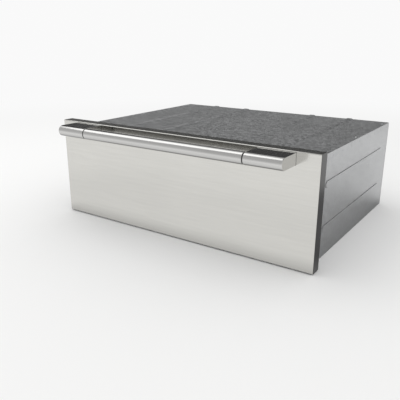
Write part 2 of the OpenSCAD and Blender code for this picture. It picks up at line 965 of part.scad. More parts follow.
skin_bend = 2;                        // outer radius of the folded edges
skin_lip = 14;                        // rear lip of the skin

// A box with its front edges rounded in plan and in side view
module soft_front_box(w, h, y0, y1, z0, r) {
  intersection() {
    along_z(z0, z0 + h)
      translate([0, (y0 + y1 + r) / 2])
        round_rect(w, y1 - y0 + r, r);
    along_x(-w / 2, w / 2)
      translate([(y0 + y1 + r) / 2, z0 + h / 2])
        round_rect(y1 - y0 + r, h, r);
    block([-w / 2, y0, z0], [w / 2, y1, z0 + h]);
  }
}

module front_skin() {
  inner_w = front_w - 2 * sheet;
  inner_h = front_h - 2 * sheet;
  color(bright)
    difference() {
      soft_front_box(front_w, front_h, y_front, y_front + front_t, z_front, skin_bend);
      soft_front_box(inner_w, inner_h, y_front + sheet, y_front + front_t - sheet, z_front + sheet,
        skin_bend - sheet);
      block([-front_w / 2 + skin_lip, y_front + front_t / 2, z_front + skin_lip],
        [front_w / 2 - skin_lip, y_front + front_t + 1, z_front_top - skin_lip]);
      for (x = bolt_xs)
        rod_y([x, y_front - 1, handle_z], 3, 4);
    }
}

bolt_xs = [for (s = [-1, 1], k = [-1, 1]) s * (block_x + block_len / 2) + k * bolt_pitch / 2];
rail_tab_x = rail_x - 12;             // middle of the rails' front tabs
rail_tab_z = [112, 156];

field_w = 550;                        // pressed field in the middle of the inner panel
field_h = 118;
field_z = 104;
field_deep = 1.2;

module front_inner_panel() {
  color(steel)
    difference() {
      union() {
        along_y(y_front + front_t, y_panel)
          translate([0, z_front + front_h / 2])
            round_rect(front_w - 12, front_h - 12, 6);
        along_y(y_front + front_t - field_deep, y_panel)
          translate([0, field_z])
            round_rect(field_w, field_h, 12);
      }
      along_y(y_panel - field_deep, y_panel + 1)
        translate([0, field_z])
          round_rect(field_w - 2 * sheet, field_h - 2 * sheet, 12 - sheet);
      for (x = [-rail_tab_x, rail_tab_x], z = rail_tab_z)
        rod_y([x, y_front + front_t - 1, z], screw_r, 4);
    }
}

module front_insulation() {
  color([0.86, 0.82, 0.66])
    along_y(y_front + 8, y_front + front_t - sheet - 0.4)
      translate([0, z_front + front_h / 2])
        round_rect(front_w - 8, front_h - 8, 4);
}

// Round tube between the collars
module handle_bar() {
  half = block_x - collar_w;
  color(bright)
    translate([-half, handle_y, handle_z])
      rotate([0, 90, 0])
        rotate_extrude()
          polygon(concat(
            [[bar_bore_r, 0]],
            arc([bar_r - collar_edge, collar_edge], collar_edge, -90, 0, 3),
            arc([bar_r - collar_edge, 2 * half - collar_edge], collar_edge, 0, 90, 3),
            [[bar_bore_r, 2 * half]]));
}

block_round = 1;                      // rounding of a block's outer edges

// Half outline of a block's nose, revolved about the handle's axis
module nose_section() {
  polygon(concat(
    [[0, 0]],
    arc([bar_r - collar_edge, collar_edge], collar_edge, -90, 0, 3),
    arc([bar_r - block_round, block_len - block_round], block_round, 0, 90, 4),
    [[0, block_len]]));
}

// Outline of a block seen from the front
module block_outline() {
  polygon(concat(
    arc([collar_edge, collar_edge - bar_r], collar_edge, 180, 270, 3),
    arc([block_len - block_round, block_round - bar_r], block_round, -90, 0, 4),
    arc([block_len - block_round, bar_r - block_round], block_round, 0, 90, 4),
    arc([collar_edge, bar_r - collar_edge], collar_edge, 90, 180, 3)));
}

// Solid end block: round nose, flat top and bottom, square to the front's face
module handle_block(s) {
  color(bright)
    to_side(s)
      difference() {
        union() {
          translate([block_x, handle_y, handle_z])
            rotate([0, 90, 0])
              rotate([0, 0, -180])
                rotate_extrude(angle = 180)
                  nose_section();
          along_y(handle_y, y_front)
            translate([block_x, handle_z])
              block_outline();
        }
        rod_x([block_x - 1, handle_y, handle_z], bar_bore_r, spigot + 1);
        for (k = [-1, 1])
          rod_y([block_x + block_len / 2 + k * bolt_pitch / 2, y_front - 24, handle_z], 3, 25);
      }
}

// Recessed collars, with the spigots that join bar and blocks
module handle_collars() {
  color(black)
    for (s = [-1, 1])
      to_side(s) {
        rod_x([block_x - collar_w, handle_y, handle_z], bar_r - 1.6, collar_w);
        rod_x([block_x - collar_w - spigot, handle_y, handle_z], bar_bore_r, 2 * spigot + collar_w);
      }
}

// Bolts from inside the front into the end blocks
module handle_screws() {
  color("silver")
    for (x = bolt_xs) {
      rod_y([x, y_front - 24, handle_z], 3, 26);
      rod_y([x, y_front + sheet, handle_z], 5.5, 4);
    }
}

gasket_x = 335;                       // outer edge of the seal
gasket_z0 = 13;
gasket_z1 = z_shelf - 0.6;

// Silicone seal round the cavity's mouth
module drawer_gasket() {
  w = 2 * gasket_x;
  h = gasket_z1 - gasket_z0;
  color([0.3, 0.3, 0.3])
    along_y(y_panel, y_flange - 0.3)
      translate([0, (gasket_z0 + gasket_z1) / 2])
        difference() {
          round_rect(w, h, 14);
          round_rect(w - 2 * gasket_w, h - 2 * gasket_w, 14 - gasket_w);
        }
}

// Rubber buffers at the corners of the inner panel
module front_bumpers() {
  color(black)
    for (x = [-347, 347], z = [22, 232])
      translate([x, y_panel, z])
        rotate([-90, 0, 0]) {
          cylinder(h = 2, r = 6);
          translate([0, 0, 2])
            cylinder(h = seal_gap - 2.3, r1 = 6, r2 = 4.5);
        }
}

// === Drawer =================================================================

// Solid form of the tub, grown outwards by grow: round corners, walls that lean in
module tub_form(grow, top) {
  x_top = tub_x - tub_sheet + grow;
  y_top0 = tub_y0 + tub_sheet - grow;
  y_top1 = tub_y1 - tub_sheet + grow;
  z0 = z_rail_top - tub_deep + tub_sheet - grow;
  r_top = tub_corner_r - tub_sheet + grow;
  r_base = tub_base_r - tub_sheet + grow;
  hull() {
    for (x = [-1, 1], y = [y_top0 + r_top, y_top1 - r_top])
      translate([x * (x_top - r_top), y, top - 1])
        cylinder(h = 1, r = r_top, $fn = hull_fn);
    for (x = [-1, 1], y = [y_top0 + tub_draft + r_base, y_top1 - tub_draft - r_base])
      translate([x * (x_top - tub_draft - r_base), y, z0 + r_base * cos(180 / hull_fn)])
        sphere(r_base, $fn = hull_fn);
  }
}

// Deep-drawn tub with a flat rim
module drawer_tub() {
  color(bright)
    difference() {
      union() {
        tub_form(tub_sheet, z_rail_top + tub_sheet);
        along_z(z_rail_top, z_rail_top + tub_sheet)
          translate([0, (tub_y0 + tub_y1) / 2])
            round_rect(2 * (tub_x + tub_rim), tub_y1 - tub_y0 + 24, 10);
      }
      tub_form(0, z_rail_top + 2);
    }
}

mat_w = 536;
mat_d = 396;
mat_t = 1.6;
mat_seat = 0.02;                      // keeps the mat just clear of the tub's floor
rib_pitch = 12;

// Anti-slip mat with rounded ribs from side to side
module tub_mat() {
  z0 = z_rail_top - tub_deep + tub_sheet + mat_seat;
  ribs = floor((mat_d - 30) / rib_pitch);
  y_mid = (tub_y0 + tub_y1) / 2;
  color([0.16, 0.16, 0.17])
    intersection() {
      along_z(z0, z0 + mat_t + 2)
        translate([0, y_mid])
          round_rect(mat_w, mat_d, 16);
      along_x(-mat_w / 2, mat_w / 2)
        polygon(concat(
          [[y_mid - mat_d / 2, z0]],
          [[y_mid - mat_d / 2, z0 + mat_t]],
          [for (i = [0 : ribs])
            for (p = arc([y_mid + (i - ribs / 2) * rib_pitch, z0 + mat_t - 0.6], 1.8, 160, 20, 4)) p],
          [[y_mid + mat_d / 2, z0 + mat_t]],
          [[y_mid + mat_d / 2, z0]]));
    }
}

rail_z0 = 92;
rail_y1 = y_flange + 486;

// Folded side rail: carries the tub's rim, the slide and the front
module drawer_rail(s) {
  color(steel)
    to_side(s)
      difference() {
        union() {
          along_y(y_panel, rail_y1)
            strip(fold([
              [tub_x + 2, z_rail_top - sheet / 2],
              [rail_x - sheet / 2, z_rail_top - sheet / 2],
              [rail_x - sheet / 2, rail_z0 + sheet / 2],
              [rail_x - 11, rail_z0 + sheet / 2]], 1.6), sheet);
          block([rail_x - 22, y_panel, rail_z0 + 8], [rail_x - sheet / 2, y_panel + sheet, z_rail_top - 8]);
        }
        for (y = slide_holes)
          rod_x([rail_x - 3, y_slide + y, z_slide], screw_r, 4);
        for (z = rail_tab_z)
          rod_y([rail_tab_x, y_panel - 1, z], screw_r, 4);
      }
}

// Screws from the rails into the slides and from the rails into the front
module drawer_screws() {
  color("silver")
    for (s = [-1, 1])
      to_side(s) {
        for (y = slide_holes)
          translate([rail_x - sheet, y_slide + y, z_slide])
            rotate([0, 90, 0])
              screw(sheet + slide_sheet);
        for (z = rail_tab_z)
          translate([rail_tab_x, y_panel + sheet, z])
            rotate([90, 0, 0])
              screw(3.8);
      }
}

base_pan();
side_panel(-1);  // side_panel_left
side_panel(1);  // side_panel_right
top_cover();
back_panel();
control_fascia();
liner_floor();
liner_side(-1);  // liner_side_left
liner_side(1);  // liner_side_right
liner_top();
liner_back();
insulation_blanket();
heating_element();
element_clips();
fan_motor();
fan_baffle();
thermal_cutout();
thermostat_body();
sensor_probe();
switch_body();
pilot_lens();
terminal_block();
terminal_cover();
cable_gland();
wiring_loom();
casing_screws();
slide_outer(-1);  // slide_outer_left
slide_outer(1);  // slide_outer_right
front_skin();
front_inner_panel();
front_insulation();
handle_bar();
handle_block(-1);  // handle_block_left
handle_block(1);  // handle_block_right
handle_collars();
handle_screws();
drawer_gasket();
front_bumpers();
drawer_tub();
tub_mat();
drawer_rail(-1);  // drawer_rail_left
drawer_rail(1);  // drawer_rail_right
slide_inner(-1);  // slide_inner_left
slide_inner(1);  // slide_inner_right
drawer_screws();
slide_middle(-1);  // slide_middle_left
slide_middle(1);  // slide_middle_right
cage_outer(-1);  // cage_outer_left
cage_outer(1);  // cage_outer_right
cage_inner(-1);  // cage_inner_left
cage_inner(1);  // cage_inner_right
balls_outer(-1);  // balls_outer_left
balls_outer(1);  // balls_outer_right
balls_inner(-1);  // balls_inner_left
balls_inner(1);  // balls_inner_right
thermostat_knob();
power_rocker();
fan_wheel();
vent_shutter();
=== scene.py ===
"""Looks of a built-in warming drawer: brushed front, round bar handle, drawn tub and zinc casing.

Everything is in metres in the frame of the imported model: the front faces -Y and +Z is up.
"""

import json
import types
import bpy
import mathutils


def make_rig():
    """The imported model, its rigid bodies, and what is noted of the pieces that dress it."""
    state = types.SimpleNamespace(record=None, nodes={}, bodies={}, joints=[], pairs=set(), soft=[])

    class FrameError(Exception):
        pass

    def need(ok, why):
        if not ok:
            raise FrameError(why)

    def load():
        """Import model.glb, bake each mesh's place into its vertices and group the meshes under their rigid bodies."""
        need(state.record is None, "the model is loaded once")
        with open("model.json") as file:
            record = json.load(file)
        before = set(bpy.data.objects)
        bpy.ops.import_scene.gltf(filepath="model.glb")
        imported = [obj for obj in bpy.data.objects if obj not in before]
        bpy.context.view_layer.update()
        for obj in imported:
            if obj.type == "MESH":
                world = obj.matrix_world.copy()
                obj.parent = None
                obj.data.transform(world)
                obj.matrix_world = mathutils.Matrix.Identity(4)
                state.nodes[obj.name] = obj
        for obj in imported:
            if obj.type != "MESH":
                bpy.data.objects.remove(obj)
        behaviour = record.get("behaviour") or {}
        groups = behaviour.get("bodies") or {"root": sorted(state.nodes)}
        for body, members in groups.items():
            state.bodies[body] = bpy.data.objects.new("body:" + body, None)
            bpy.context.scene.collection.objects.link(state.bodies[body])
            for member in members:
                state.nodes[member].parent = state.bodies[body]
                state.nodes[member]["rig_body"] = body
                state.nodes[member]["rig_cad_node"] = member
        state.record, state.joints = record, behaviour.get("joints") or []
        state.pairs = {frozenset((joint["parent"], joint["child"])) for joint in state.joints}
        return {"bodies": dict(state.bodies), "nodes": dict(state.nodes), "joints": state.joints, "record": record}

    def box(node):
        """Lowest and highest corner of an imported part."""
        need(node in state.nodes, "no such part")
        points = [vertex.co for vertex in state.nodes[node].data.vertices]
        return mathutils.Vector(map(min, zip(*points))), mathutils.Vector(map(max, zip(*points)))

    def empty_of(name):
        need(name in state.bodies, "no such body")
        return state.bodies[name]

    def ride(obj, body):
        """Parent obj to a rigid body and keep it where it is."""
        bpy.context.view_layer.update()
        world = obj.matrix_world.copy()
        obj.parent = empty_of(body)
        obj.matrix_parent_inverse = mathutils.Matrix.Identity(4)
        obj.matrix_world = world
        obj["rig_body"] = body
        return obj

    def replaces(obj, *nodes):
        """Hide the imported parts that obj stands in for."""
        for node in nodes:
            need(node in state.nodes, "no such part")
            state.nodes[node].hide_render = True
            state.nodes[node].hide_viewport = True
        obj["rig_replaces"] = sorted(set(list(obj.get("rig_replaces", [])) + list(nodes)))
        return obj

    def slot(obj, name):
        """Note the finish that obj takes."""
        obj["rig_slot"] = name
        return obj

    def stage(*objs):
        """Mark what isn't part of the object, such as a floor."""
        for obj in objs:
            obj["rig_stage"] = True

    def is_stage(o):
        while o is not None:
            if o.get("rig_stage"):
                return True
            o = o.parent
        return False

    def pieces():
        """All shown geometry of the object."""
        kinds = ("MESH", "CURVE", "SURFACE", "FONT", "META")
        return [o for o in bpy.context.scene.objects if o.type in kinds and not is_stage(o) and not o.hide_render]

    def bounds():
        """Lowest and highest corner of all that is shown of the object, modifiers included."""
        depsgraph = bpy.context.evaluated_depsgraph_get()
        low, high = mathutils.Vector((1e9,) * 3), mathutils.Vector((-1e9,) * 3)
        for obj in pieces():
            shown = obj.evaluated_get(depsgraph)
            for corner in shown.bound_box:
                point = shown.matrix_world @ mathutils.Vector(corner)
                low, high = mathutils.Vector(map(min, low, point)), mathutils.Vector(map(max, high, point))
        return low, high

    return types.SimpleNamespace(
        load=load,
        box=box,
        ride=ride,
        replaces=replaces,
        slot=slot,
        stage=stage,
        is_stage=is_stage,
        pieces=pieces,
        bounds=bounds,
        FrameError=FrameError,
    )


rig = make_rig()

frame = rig.load()
CAD_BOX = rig.bounds()

import json
import logging
import math
from dataclasses import dataclass, field
from enum import Enum
from typing import Any, Iterable, Sequence

import bmesh
import bpy
from mathutils import Matrix, Vector

log = logging.getLogger("warming_drawer")
MM = 0.001
SHEET = 1.2 * MM  # thickness of the folded steel
PROUD = 0.04 * MM  # how far an added head lies over the plain screw that it dresses
SLIDE_HOLES = (24.0 * MM, 152.0 * MM, 312.0 * MM, 468.0 * MM)  # screws of a slide, from its front end
Rgb = tuple[float, float, float]
Point = tuple[float, float, float]
Profile = Sequence[tuple[float, float]]
Piece = bpy.types.Object
Tree = bpy.types.NodeTree
Node = bpy.types.Node
Socket = bpy.types.NodeSocket
BMesh = bmesh.types.BMesh
VECTOR, FLOAT, GEOMETRY = "NodeSocketVector", "NodeSocketFloat", "NodeSocketGeometry"
INTEGER, MATERIAL, OBJECT = "NodeSocketInt", "NodeSocketMaterial", "NodeSocketObject"
MERGE = 1e-6  # points of a mesh that are nearer than this are made one
MERGE_FINE = 1e-7  # the same for the small shapes that are copied
SEEDS = {
    "casing_screw_heads": 3, "slide_screw_heads": 5, "shutter_rivets": 7, "casing_welds": 11,
    "supply_screw_heads": 13, "front_welds": 17, "rail_screw_heads": 19,
}


class Axis(Enum):
    """Direction that a grain runs in."""

    X = (1.0, 0.0, 0.0)
    Y = (0.0, 1.0, 0.0)


class Side(Enum):
    """Left or right of a person who stands before the drawer."""

    LEFT = -1
    RIGHT = 1

    @property
    def word(self) -> str:
        """Returns the side's name as the nodes spell it."""
        return self.name.lower()


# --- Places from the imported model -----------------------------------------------


@dataclass(frozen=True)
class Span:
    """Box round a CAD node at rest."""

    low: Vector
    high: Vector

    @classmethod
    def of(cls, node: str) -> "Span":
        """Returns the box round the named node."""
        return cls(*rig.box(node))

    @property
    def middle(self) -> Vector:
        """Returns the centre of the box."""
        return (self.low + self.high) / 2

    @property
    def half(self) -> Vector:
        """Returns half of the box's size."""
        return (self.high - self.low) / 2


def around(node: str) -> Any:
    """Returns a dataclass field that holds the box round a node."""
    return field(default_factory=lambda: Span.of(node))


def joint_point(name: str) -> Vector:
    """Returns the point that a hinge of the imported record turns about."""
    return next(Vector(j["pos_m"]) for j in frame["joints"] if j["name"] == name)


# --- Node trees ---------------------------------------------------------------


class Wiring:
    """Adds nodes to one tree and joins them."""

    def __init__(self, tree: Tree) -> None:
        """Keeps the tree.

        Args:
            tree: shader or geometry tree that the nodes go into.
        """
        self.tree = tree

    def add(self, kind: str, sockets: dict[Any, Any] | None = None, **settings: Any) -> Node:
        """Adds a node.

        Args:
            kind: Blender's name of the node type.
            sockets: input name or number to a value, or to the output that feeds it.
            settings: properties of the node.

        Returns:
            The new node.
        """
        made = self.tree.nodes.new(kind)
        for name, value in settings.items():
            setattr(made, name, value)
        for key, value in (sockets or {}).items():
            self.feed(made, key, value)
        return made

    def feed(self, node: Node, key: Any, value: Any) -> None:
        """Sets an input, or links an output to it.

        Args:
            node: node that has the input.
            key: name or number of the input.
            value: a plain value, an output socket, or a node that stands for its first output.
        """
        target = node.inputs[key]
        if isinstance(value, Node):
            value = value.outputs[0]
        if isinstance(value, Socket):
            self.tree.links.new(value, target)
        elif isinstance(value, tuple) and len(value) == 3 and target.type == "RGBA":
            target.default_value = (*value, 1.0)
        else:
            target.default_value = value

    def math(self, operation: str, *values: Any) -> Socket:
        """Returns the output of a Math node on the given values."""
        return self.add("ShaderNodeMath", dict(enumerate(values)), operation=operation).outputs[0]

    def vector(self, operation: str, *values: Any) -> Socket:
        """Returns the vector from a Vector Math node on the given values."""
        return self.add("ShaderNodeVectorMath", dict(enumerate(values)), operation=operation).outputs[0]

    def noise(self, where: Any, scale: Any, detail: float, **more: float) -> Socket:
        """Returns the level of a noise texture."""
        sockets = {"Vector": where, "Scale": scale, "Detail": detail, **more}
        return self.add("ShaderNodeTexNoise", sockets).outputs[0]

    def grey(self, level: Any) -> Socket:
        """Returns a level as a colour."""
        return self.add("ShaderNodeCombineColor", {0: level, 1: level, 2: level}).outputs[0]

    def clip(self, value: Any, low: float, high: float) -> Socket:
        """Returns 0 at low, 1 at high and a straight change between."""
        return self.add("ShaderNodeMapRange", {0: value, 1: low, 2: high, 3: 0.0, 4: 1.0}).outputs[0]

    def between(self, value: Any, low: float, high: float) -> Socket:
        """Returns low where value is 0 and high where it is 1."""
        return self.add("ShaderNodeMapRange", {0: value, 1: 0.0, 2: 1.0, 3: low, 4: high}).outputs[0]

    def ease(self, value: Any, low: float, high: float) -> Socket:
        """Returns 0 below low and 1 above high, with a soft step between."""
        made = self.add("ShaderNodeMapRange", {0: value, 1: low, 2: high}, interpolation_type="SMOOTHSTEP")
        return made.outputs[0]

    def ramp(self, value: Any, stops: Profile) -> Socket:
        """Makes a colour ramp of greys.

        Args:
            value: place on the ramp, from 0 to 1.
            stops: pairs of position and level, in order.

        Returns:
            The grey at that place.
        """
        made = self.add("ShaderNodeValToRGB", {0: value})
        elements = made.color_ramp.elements
        while len(elements) < len(stops):
            elements.new(0.5)
        for element, (position, level) in zip(elements, stops):
            element.position = position
            element.color = (level, level, level, 1.0)
        return made.outputs[0]

    def blend(self, factor: Any, first: Any, second: Any, mode: str = "MIX") -> Socket:
        """Mixes two colours.

        Args:
            factor: 0 for the first colour, 1 for the mix with the second one.
            first: the first colour.
            second: the second colour.
            mode: Blender's name of the way to mix.

        Returns:
            The mix.
        """
        made = self.add("ShaderNodeMix", {0: factor}, data_type="RGBA", blend_type=mode)
        for slot_number, value in ((6, first), (7, second)):
            self.feed(made, slot_number, value)
        return made.outputs[2]


def emptied(owner: bpy.types.Material | bpy.types.World) -> Tree:
    """Empties the node tree of a material or a world.

    Args:
        owner: the material or world.

    Returns:
        Its tree, without a node.
    """
    owner.use_nodes = True
    owner.node_tree.nodes.clear()
    return owner.node_tree


def group_tree(
    name: str, ins: dict[str, tuple[str, Any]], outs: dict[str, str], kind: str,
) -> tuple[Node, Node, Wiring]:
    """Makes a node group with named sockets.

    Args:
        name: name of the group.
        ins: input name to its socket type and default value, or None for no default.
        outs: output name to its socket type.
        kind: ShaderNodeTree or GeometryNodeTree.

    Returns:
        The group's input node, its output node, and the wiring of its tree.
    """
    tree = bpy.data.node_groups.new(name, kind)
    for label, (socket, value) in ins.items():
        made = tree.interface.new_socket(label, in_out="INPUT", socket_type=socket)
        if value is not None:
            made.default_value = value
    for label, socket in outs.items():
        tree.interface.new_socket(label, in_out="OUTPUT", socket_type=socket)
    wiring = Wiring(tree)
    return wiring.add("NodeGroupInput"), wiring.add("NodeGroupOutput"), wiring


class SurfaceEffects:
    """Shader groups that several finishes share, each built once."""

    coarser: Point = (0.35, 0.12, 0.12)
    details: tuple[float, float] = (3.0, 2.0)
    cloud_detail: float = 4.0
    cloud_waver: float = 0.6
    speck_rough: float = 0.7
    cell_share: float = 0.5
    speck_share: float = 0.6
    streak_levels: tuple[float, float] = (0.3, 0.7)
    cloud_levels: tuple[float, float] = (0.32, 0.68)
    speck_levels: tuple[float, float] = (0.25, 0.8)
    rubbed_levels: tuple[float, float] = (0.52, 0.66)
    bend_scale: float = 7.0
    bend: Point = (0.05, 0.05, 0.05)
    rubbed_scale: float = 16.0

    def __init__(self) -> None:
        """Builds the groups."""
        self.grain = self._grain()
        self.mottle = self._mottle()
        self.speckle = self._speckle()
        self.scratches = self._scratches()

    def _grain(self) -> Tree:
        """Builds lines of brushing: fine streaks and broad ones, long along one direction.

        Returns:
            The group, with outputs Streak from 0 to 1 and Height.
        """
        ins = {"Vector": (VECTOR, None), "Squeeze": (VECTOR, (10.0, 900.0, 900.0)), "Broad": (FLOAT, 0.35)}
        outs = {"Streak": FLOAT, "Height": FLOAT}
        source, sink, wire = group_tree("brushed_grain", ins, outs, "ShaderNodeTree")
        where, squeeze, broad = source.outputs[:3]
        fine_at = wire.vector("MULTIPLY", where, squeeze)
        fine = wire.noise(fine_at, 1.0, self.details[0])
        wide = wire.noise(wire.vector("MULTIPLY", fine_at, self.coarser), 1.0, self.details[1])
        both = wire.math("ADD", wire.math("MULTIPLY", wide, broad), fine)
        even = wire.math("DIVIDE", both, wire.math("ADD", broad, 1.0))
        wire.feed(sink, 0, wire.clip(even, *self.streak_levels))
        wire.feed(sink, 1, even)
        return wire.tree

    def _mottle(self) -> Tree:
        """Builds soft clouds of tone, as on rolled or handled sheet.

        Returns:
            The group, with output Mask from 0 to 1.
        """
        ins = {"Vector": (VECTOR, None), "Scale": (FLOAT, 9.0)}
        source, sink, wire = group_tree("soft_mottle", ins, {"Mask": FLOAT}, "ShaderNodeTree")
        where, scale = source.outputs[:2]
        cloud = wire.noise(where, scale, self.cloud_detail, Distortion=self.cloud_waver)
        wire.feed(sink, 0, wire.clip(cloud, *self.cloud_levels))
        return wire.tree

    def _speckle(self) -> Tree:
        """Builds the fine grain of a moulded or rubber surface.

        Returns:
            The group, with outputs Mask from 0 to 1 and Height.
        """
        ins = {"Vector": (VECTOR, None), "Scale": (FLOAT, 1600.0)}
        outs = {"Mask": FLOAT, "Height": FLOAT}
        source, sink, wire = group_tree("fine_speckle", ins, outs, "ShaderNodeTree")
        where, scale = source.outputs[:2]
        noise = wire.noise(where, scale, 2.0, Roughness=self.speck_rough)
        cells = wire.add("ShaderNodeTexVoronoi", {"Vector": where, "Scale": scale})
        specks = wire.math("MULTIPLY", noise, self.speck_share)
        mixed = wire.math("MULTIPLY_ADD", cells, self.cell_share, specks)
        wire.feed(sink, 0, wire.clip(mixed, *self.speck_levels))
        wire.feed(sink, 1, mixed)
        return wire.tree

    def _scratches(self) -> Tree:
        """Builds thin scattered rub marks.

        Returns:
            The group, with output Mask, 1 on a mark.
        """
        ins = {"Vector": (VECTOR, None), "Scale": (FLOAT, 24.0), "Width": (FLOAT, 0.012)}
        source, sink, wire = group_tree("rub_marks", ins, {"Mask": FLOAT}, "ShaderNodeTree")
        where, scale, width = source.outputs[:3]
        bent = wire.add("ShaderNodeTexNoise", {"Vector": where, "Scale": self.bend_scale, "Detail": 1.0})
        placed = wire.vector("ADD", where, wire.vector("MULTIPLY", bent.outputs[1], self.bend))
        sockets = {"Vector": placed, "Scale": scale}
        edge = wire.add("ShaderNodeTexVoronoi", sockets, feature="DISTANCE_TO_EDGE")
        line = wire.math("LESS_THAN", edge.outputs[0], width)
        rubbed = wire.clip(wire.noise(where, self.rubbed_scale, 2.0), *self.rubbed_levels)
        wire.feed(sink, 0, wire.math("MULTIPLY", line, rubbed))
        return wire.tree


EFFECTS = SurfaceEffects()


# --- Finishes -----------------------------------------------------------------


def toned(tone: Rgb, share: float, most: float = 1.0) -> Rgb:
    """Returns a lighter or darker tone, held under a limit."""
    return tuple(min(c * share, most) for c in tone)


class Surface(Wiring):
    """Wiring of a material whose shader is fed from the shared effects."""

    def __init__(self, tree: Tree) -> None:
        """Starts with a shader and its output.

        Args:
            tree: the material's empty tree.
        """
        super().__init__(tree)
        self.shader = self.add("ShaderNodeBsdfPrincipled")
        self.add("ShaderNodeOutputMaterial", {0: self.shader}, is_active_output=True)
        self.where = self.add("ShaderNodeTexCoord").outputs["Object"]

    def effect(self, tree: Tree, **sockets: Any) -> Node:
        """Returns the group node of a shared effect with its own values."""
        return self.add("ShaderNodeGroup", {"Vector": self.where, **sockets}, node_tree=tree)

    def cloud(self, scale: float) -> Socket:
        """Returns soft clouds of tone from 0 to 1."""
        return self.effect(EFFECTS.mottle, Scale=scale).outputs[0]

    def rubs(self, scale: float) -> Socket:
        """Returns rub marks, 1 on a mark."""
        return self.effect(EFFECTS.scratches, Scale=scale).outputs[0]

    def speckle(self, scale: float) -> tuple[Socket, Socket]:
        """Returns a fine grain from 0 to 1, and its height."""
        made = self.effect(EFFECTS.speckle, Scale=scale)
        return made.outputs[0], made.outputs[1]

    def brushing(
        self, along: Axis, line: float, stretch: float, broad: float = 0.35,
    ) -> tuple[Socket, Socket]:
        """Places lines of brushing.

        Args:
            along: direction of the lines.
            line: width of a line.
            stretch: width of a line over its length.
            broad: strength of the broad streaks against the fine ones.

        Returns:
            The streaks from 0 to 1, and their height.
        """
        squeeze = tuple(stretch / line if a else 1 / line for a in along.value)
        made = self.effect(EFFECTS.grain, Squeeze=squeeze, Broad=broad)
        return made.outputs[0], made.outputs[1]

    def finish(self, sockets: dict[str, Any], height: Socket, depth: float) -> None:
        """Feeds the shader and gives it a relief.

        Args:
            sockets: the shader's input to a value, or to the output that feeds it.
            height: height of the relief from 0 to 1.
            depth: the relief's height in metres.
        """
        bump = self.add("ShaderNodeBump", {"Height": height, "Distance": depth, "Strength": 1.0})
        for key, value in {**sockets, "Normal": bump}.items():
            self.feed(self.shader, key, value)


class Finish:
    """A material that is made on first use and then shared."""

    _made: dict[str, bpy.types.Material] = {}
    name: str

    def material(self) -> bpy.types.Material:
        """Returns the finish's material, built once."""
        if self.name not in Finish._made:
            made = bpy.data.materials.new(self.name)
            self.wire_up(Surface(emptied(made)))
            Finish._made[self.name] = made
        return Finish._made[self.name]

    def wire_up(self, on: Surface) -> None:
        """Feeds the shader; each finish has its own way."""
        raise NotImplementedError


@dataclass(frozen=True)
class BrushedSteel(Finish):
    """Stainless sheet with lines of brushing and soft clouds of tone.

    Sides that face along the listed ways take a painted shade: a dark tone that stands in for the
    dark reflections and shade on them. The shorter a way is, the less of the painted shade its sides take.
    """

    name: str
    tone: Rgb
    roughness: float = 0.3
    along: Axis = Axis.X
    line: float = 1.1 * MM
    contrast: float = 0.08
    relief: float = 0.012 * MM
    anisotropy: float = 0.5
    mottle: float = 0.035
    spread: float = 0.04
    broad: float = 0.35
    stretch: float = 0.012
    lightest: float = 0.95
    cloud_scale: float = 5.0
    rub_scale: float = 14.0
    rub_dulling: float = 0.05
    flank: Rgb | None = None
    flank_ways: tuple[Point, ...] = ((1.0, 0.0, 0.0), (-1.0, 0.0, 0.0), (0.0, 0.0, -1.0))
    flank_turn: tuple[float, float] = (0.62, 0.95)

    def wire_up(self, on: Surface) -> None:
        """Feeds colour, roughness and normal from the brushing.

        Args:
            on: surface of the material.
        """
        streak, height = on.brushing(self.along, self.line, self.stretch, self.broad)
        cloud, rubs = on.cloud(self.cloud_scale), on.rubs(self.rub_scale)
        low, high = toned(self.tone, 1 - self.contrast), toned(self.tone, 1 + self.contrast, self.lightest)
        shade = on.between(cloud, 1 - self.mottle, 1 + self.mottle)
        colour = on.blend(1.0, on.blend(streak, low, high), on.grey(shade), "MULTIPLY")
        # Painted shade: faces turned along the listed ways are darkened by their normal, standing in for dark
        # reflections and shade.
        if self.flank:
            facing = on.add("ShaderNodeTexCoord").outputs["Normal"]
            turned: Any = -1.0
            for way in self.flank_ways:
                dot = on.add("ShaderNodeVectorMath", {0: facing, 1: way}, operation="DOT_PRODUCT")
                turned = on.math("MAXIMUM", turned, dot.outputs["Value"])
            colour = on.blend(on.ease(turned, *self.flank_turn), colour, self.flank)
        base = on.between(streak, self.roughness + self.spread, self.roughness - self.spread)
        cloudy = on.math("MULTIPLY_ADD", cloud, self.spread, base)
        sockets = {
            "Base Color": colour, "Metallic": 1.0, "Anisotropic": self.anisotropy,
            "Roughness": on.math("MULTIPLY_ADD", rubs, self.rub_dulling, cloudy),
            "Tangent": on.add("ShaderNodeTangent", direction_type="RADIAL", axis=self.along.name),
        }
        on.finish(sockets, height, self.relief)


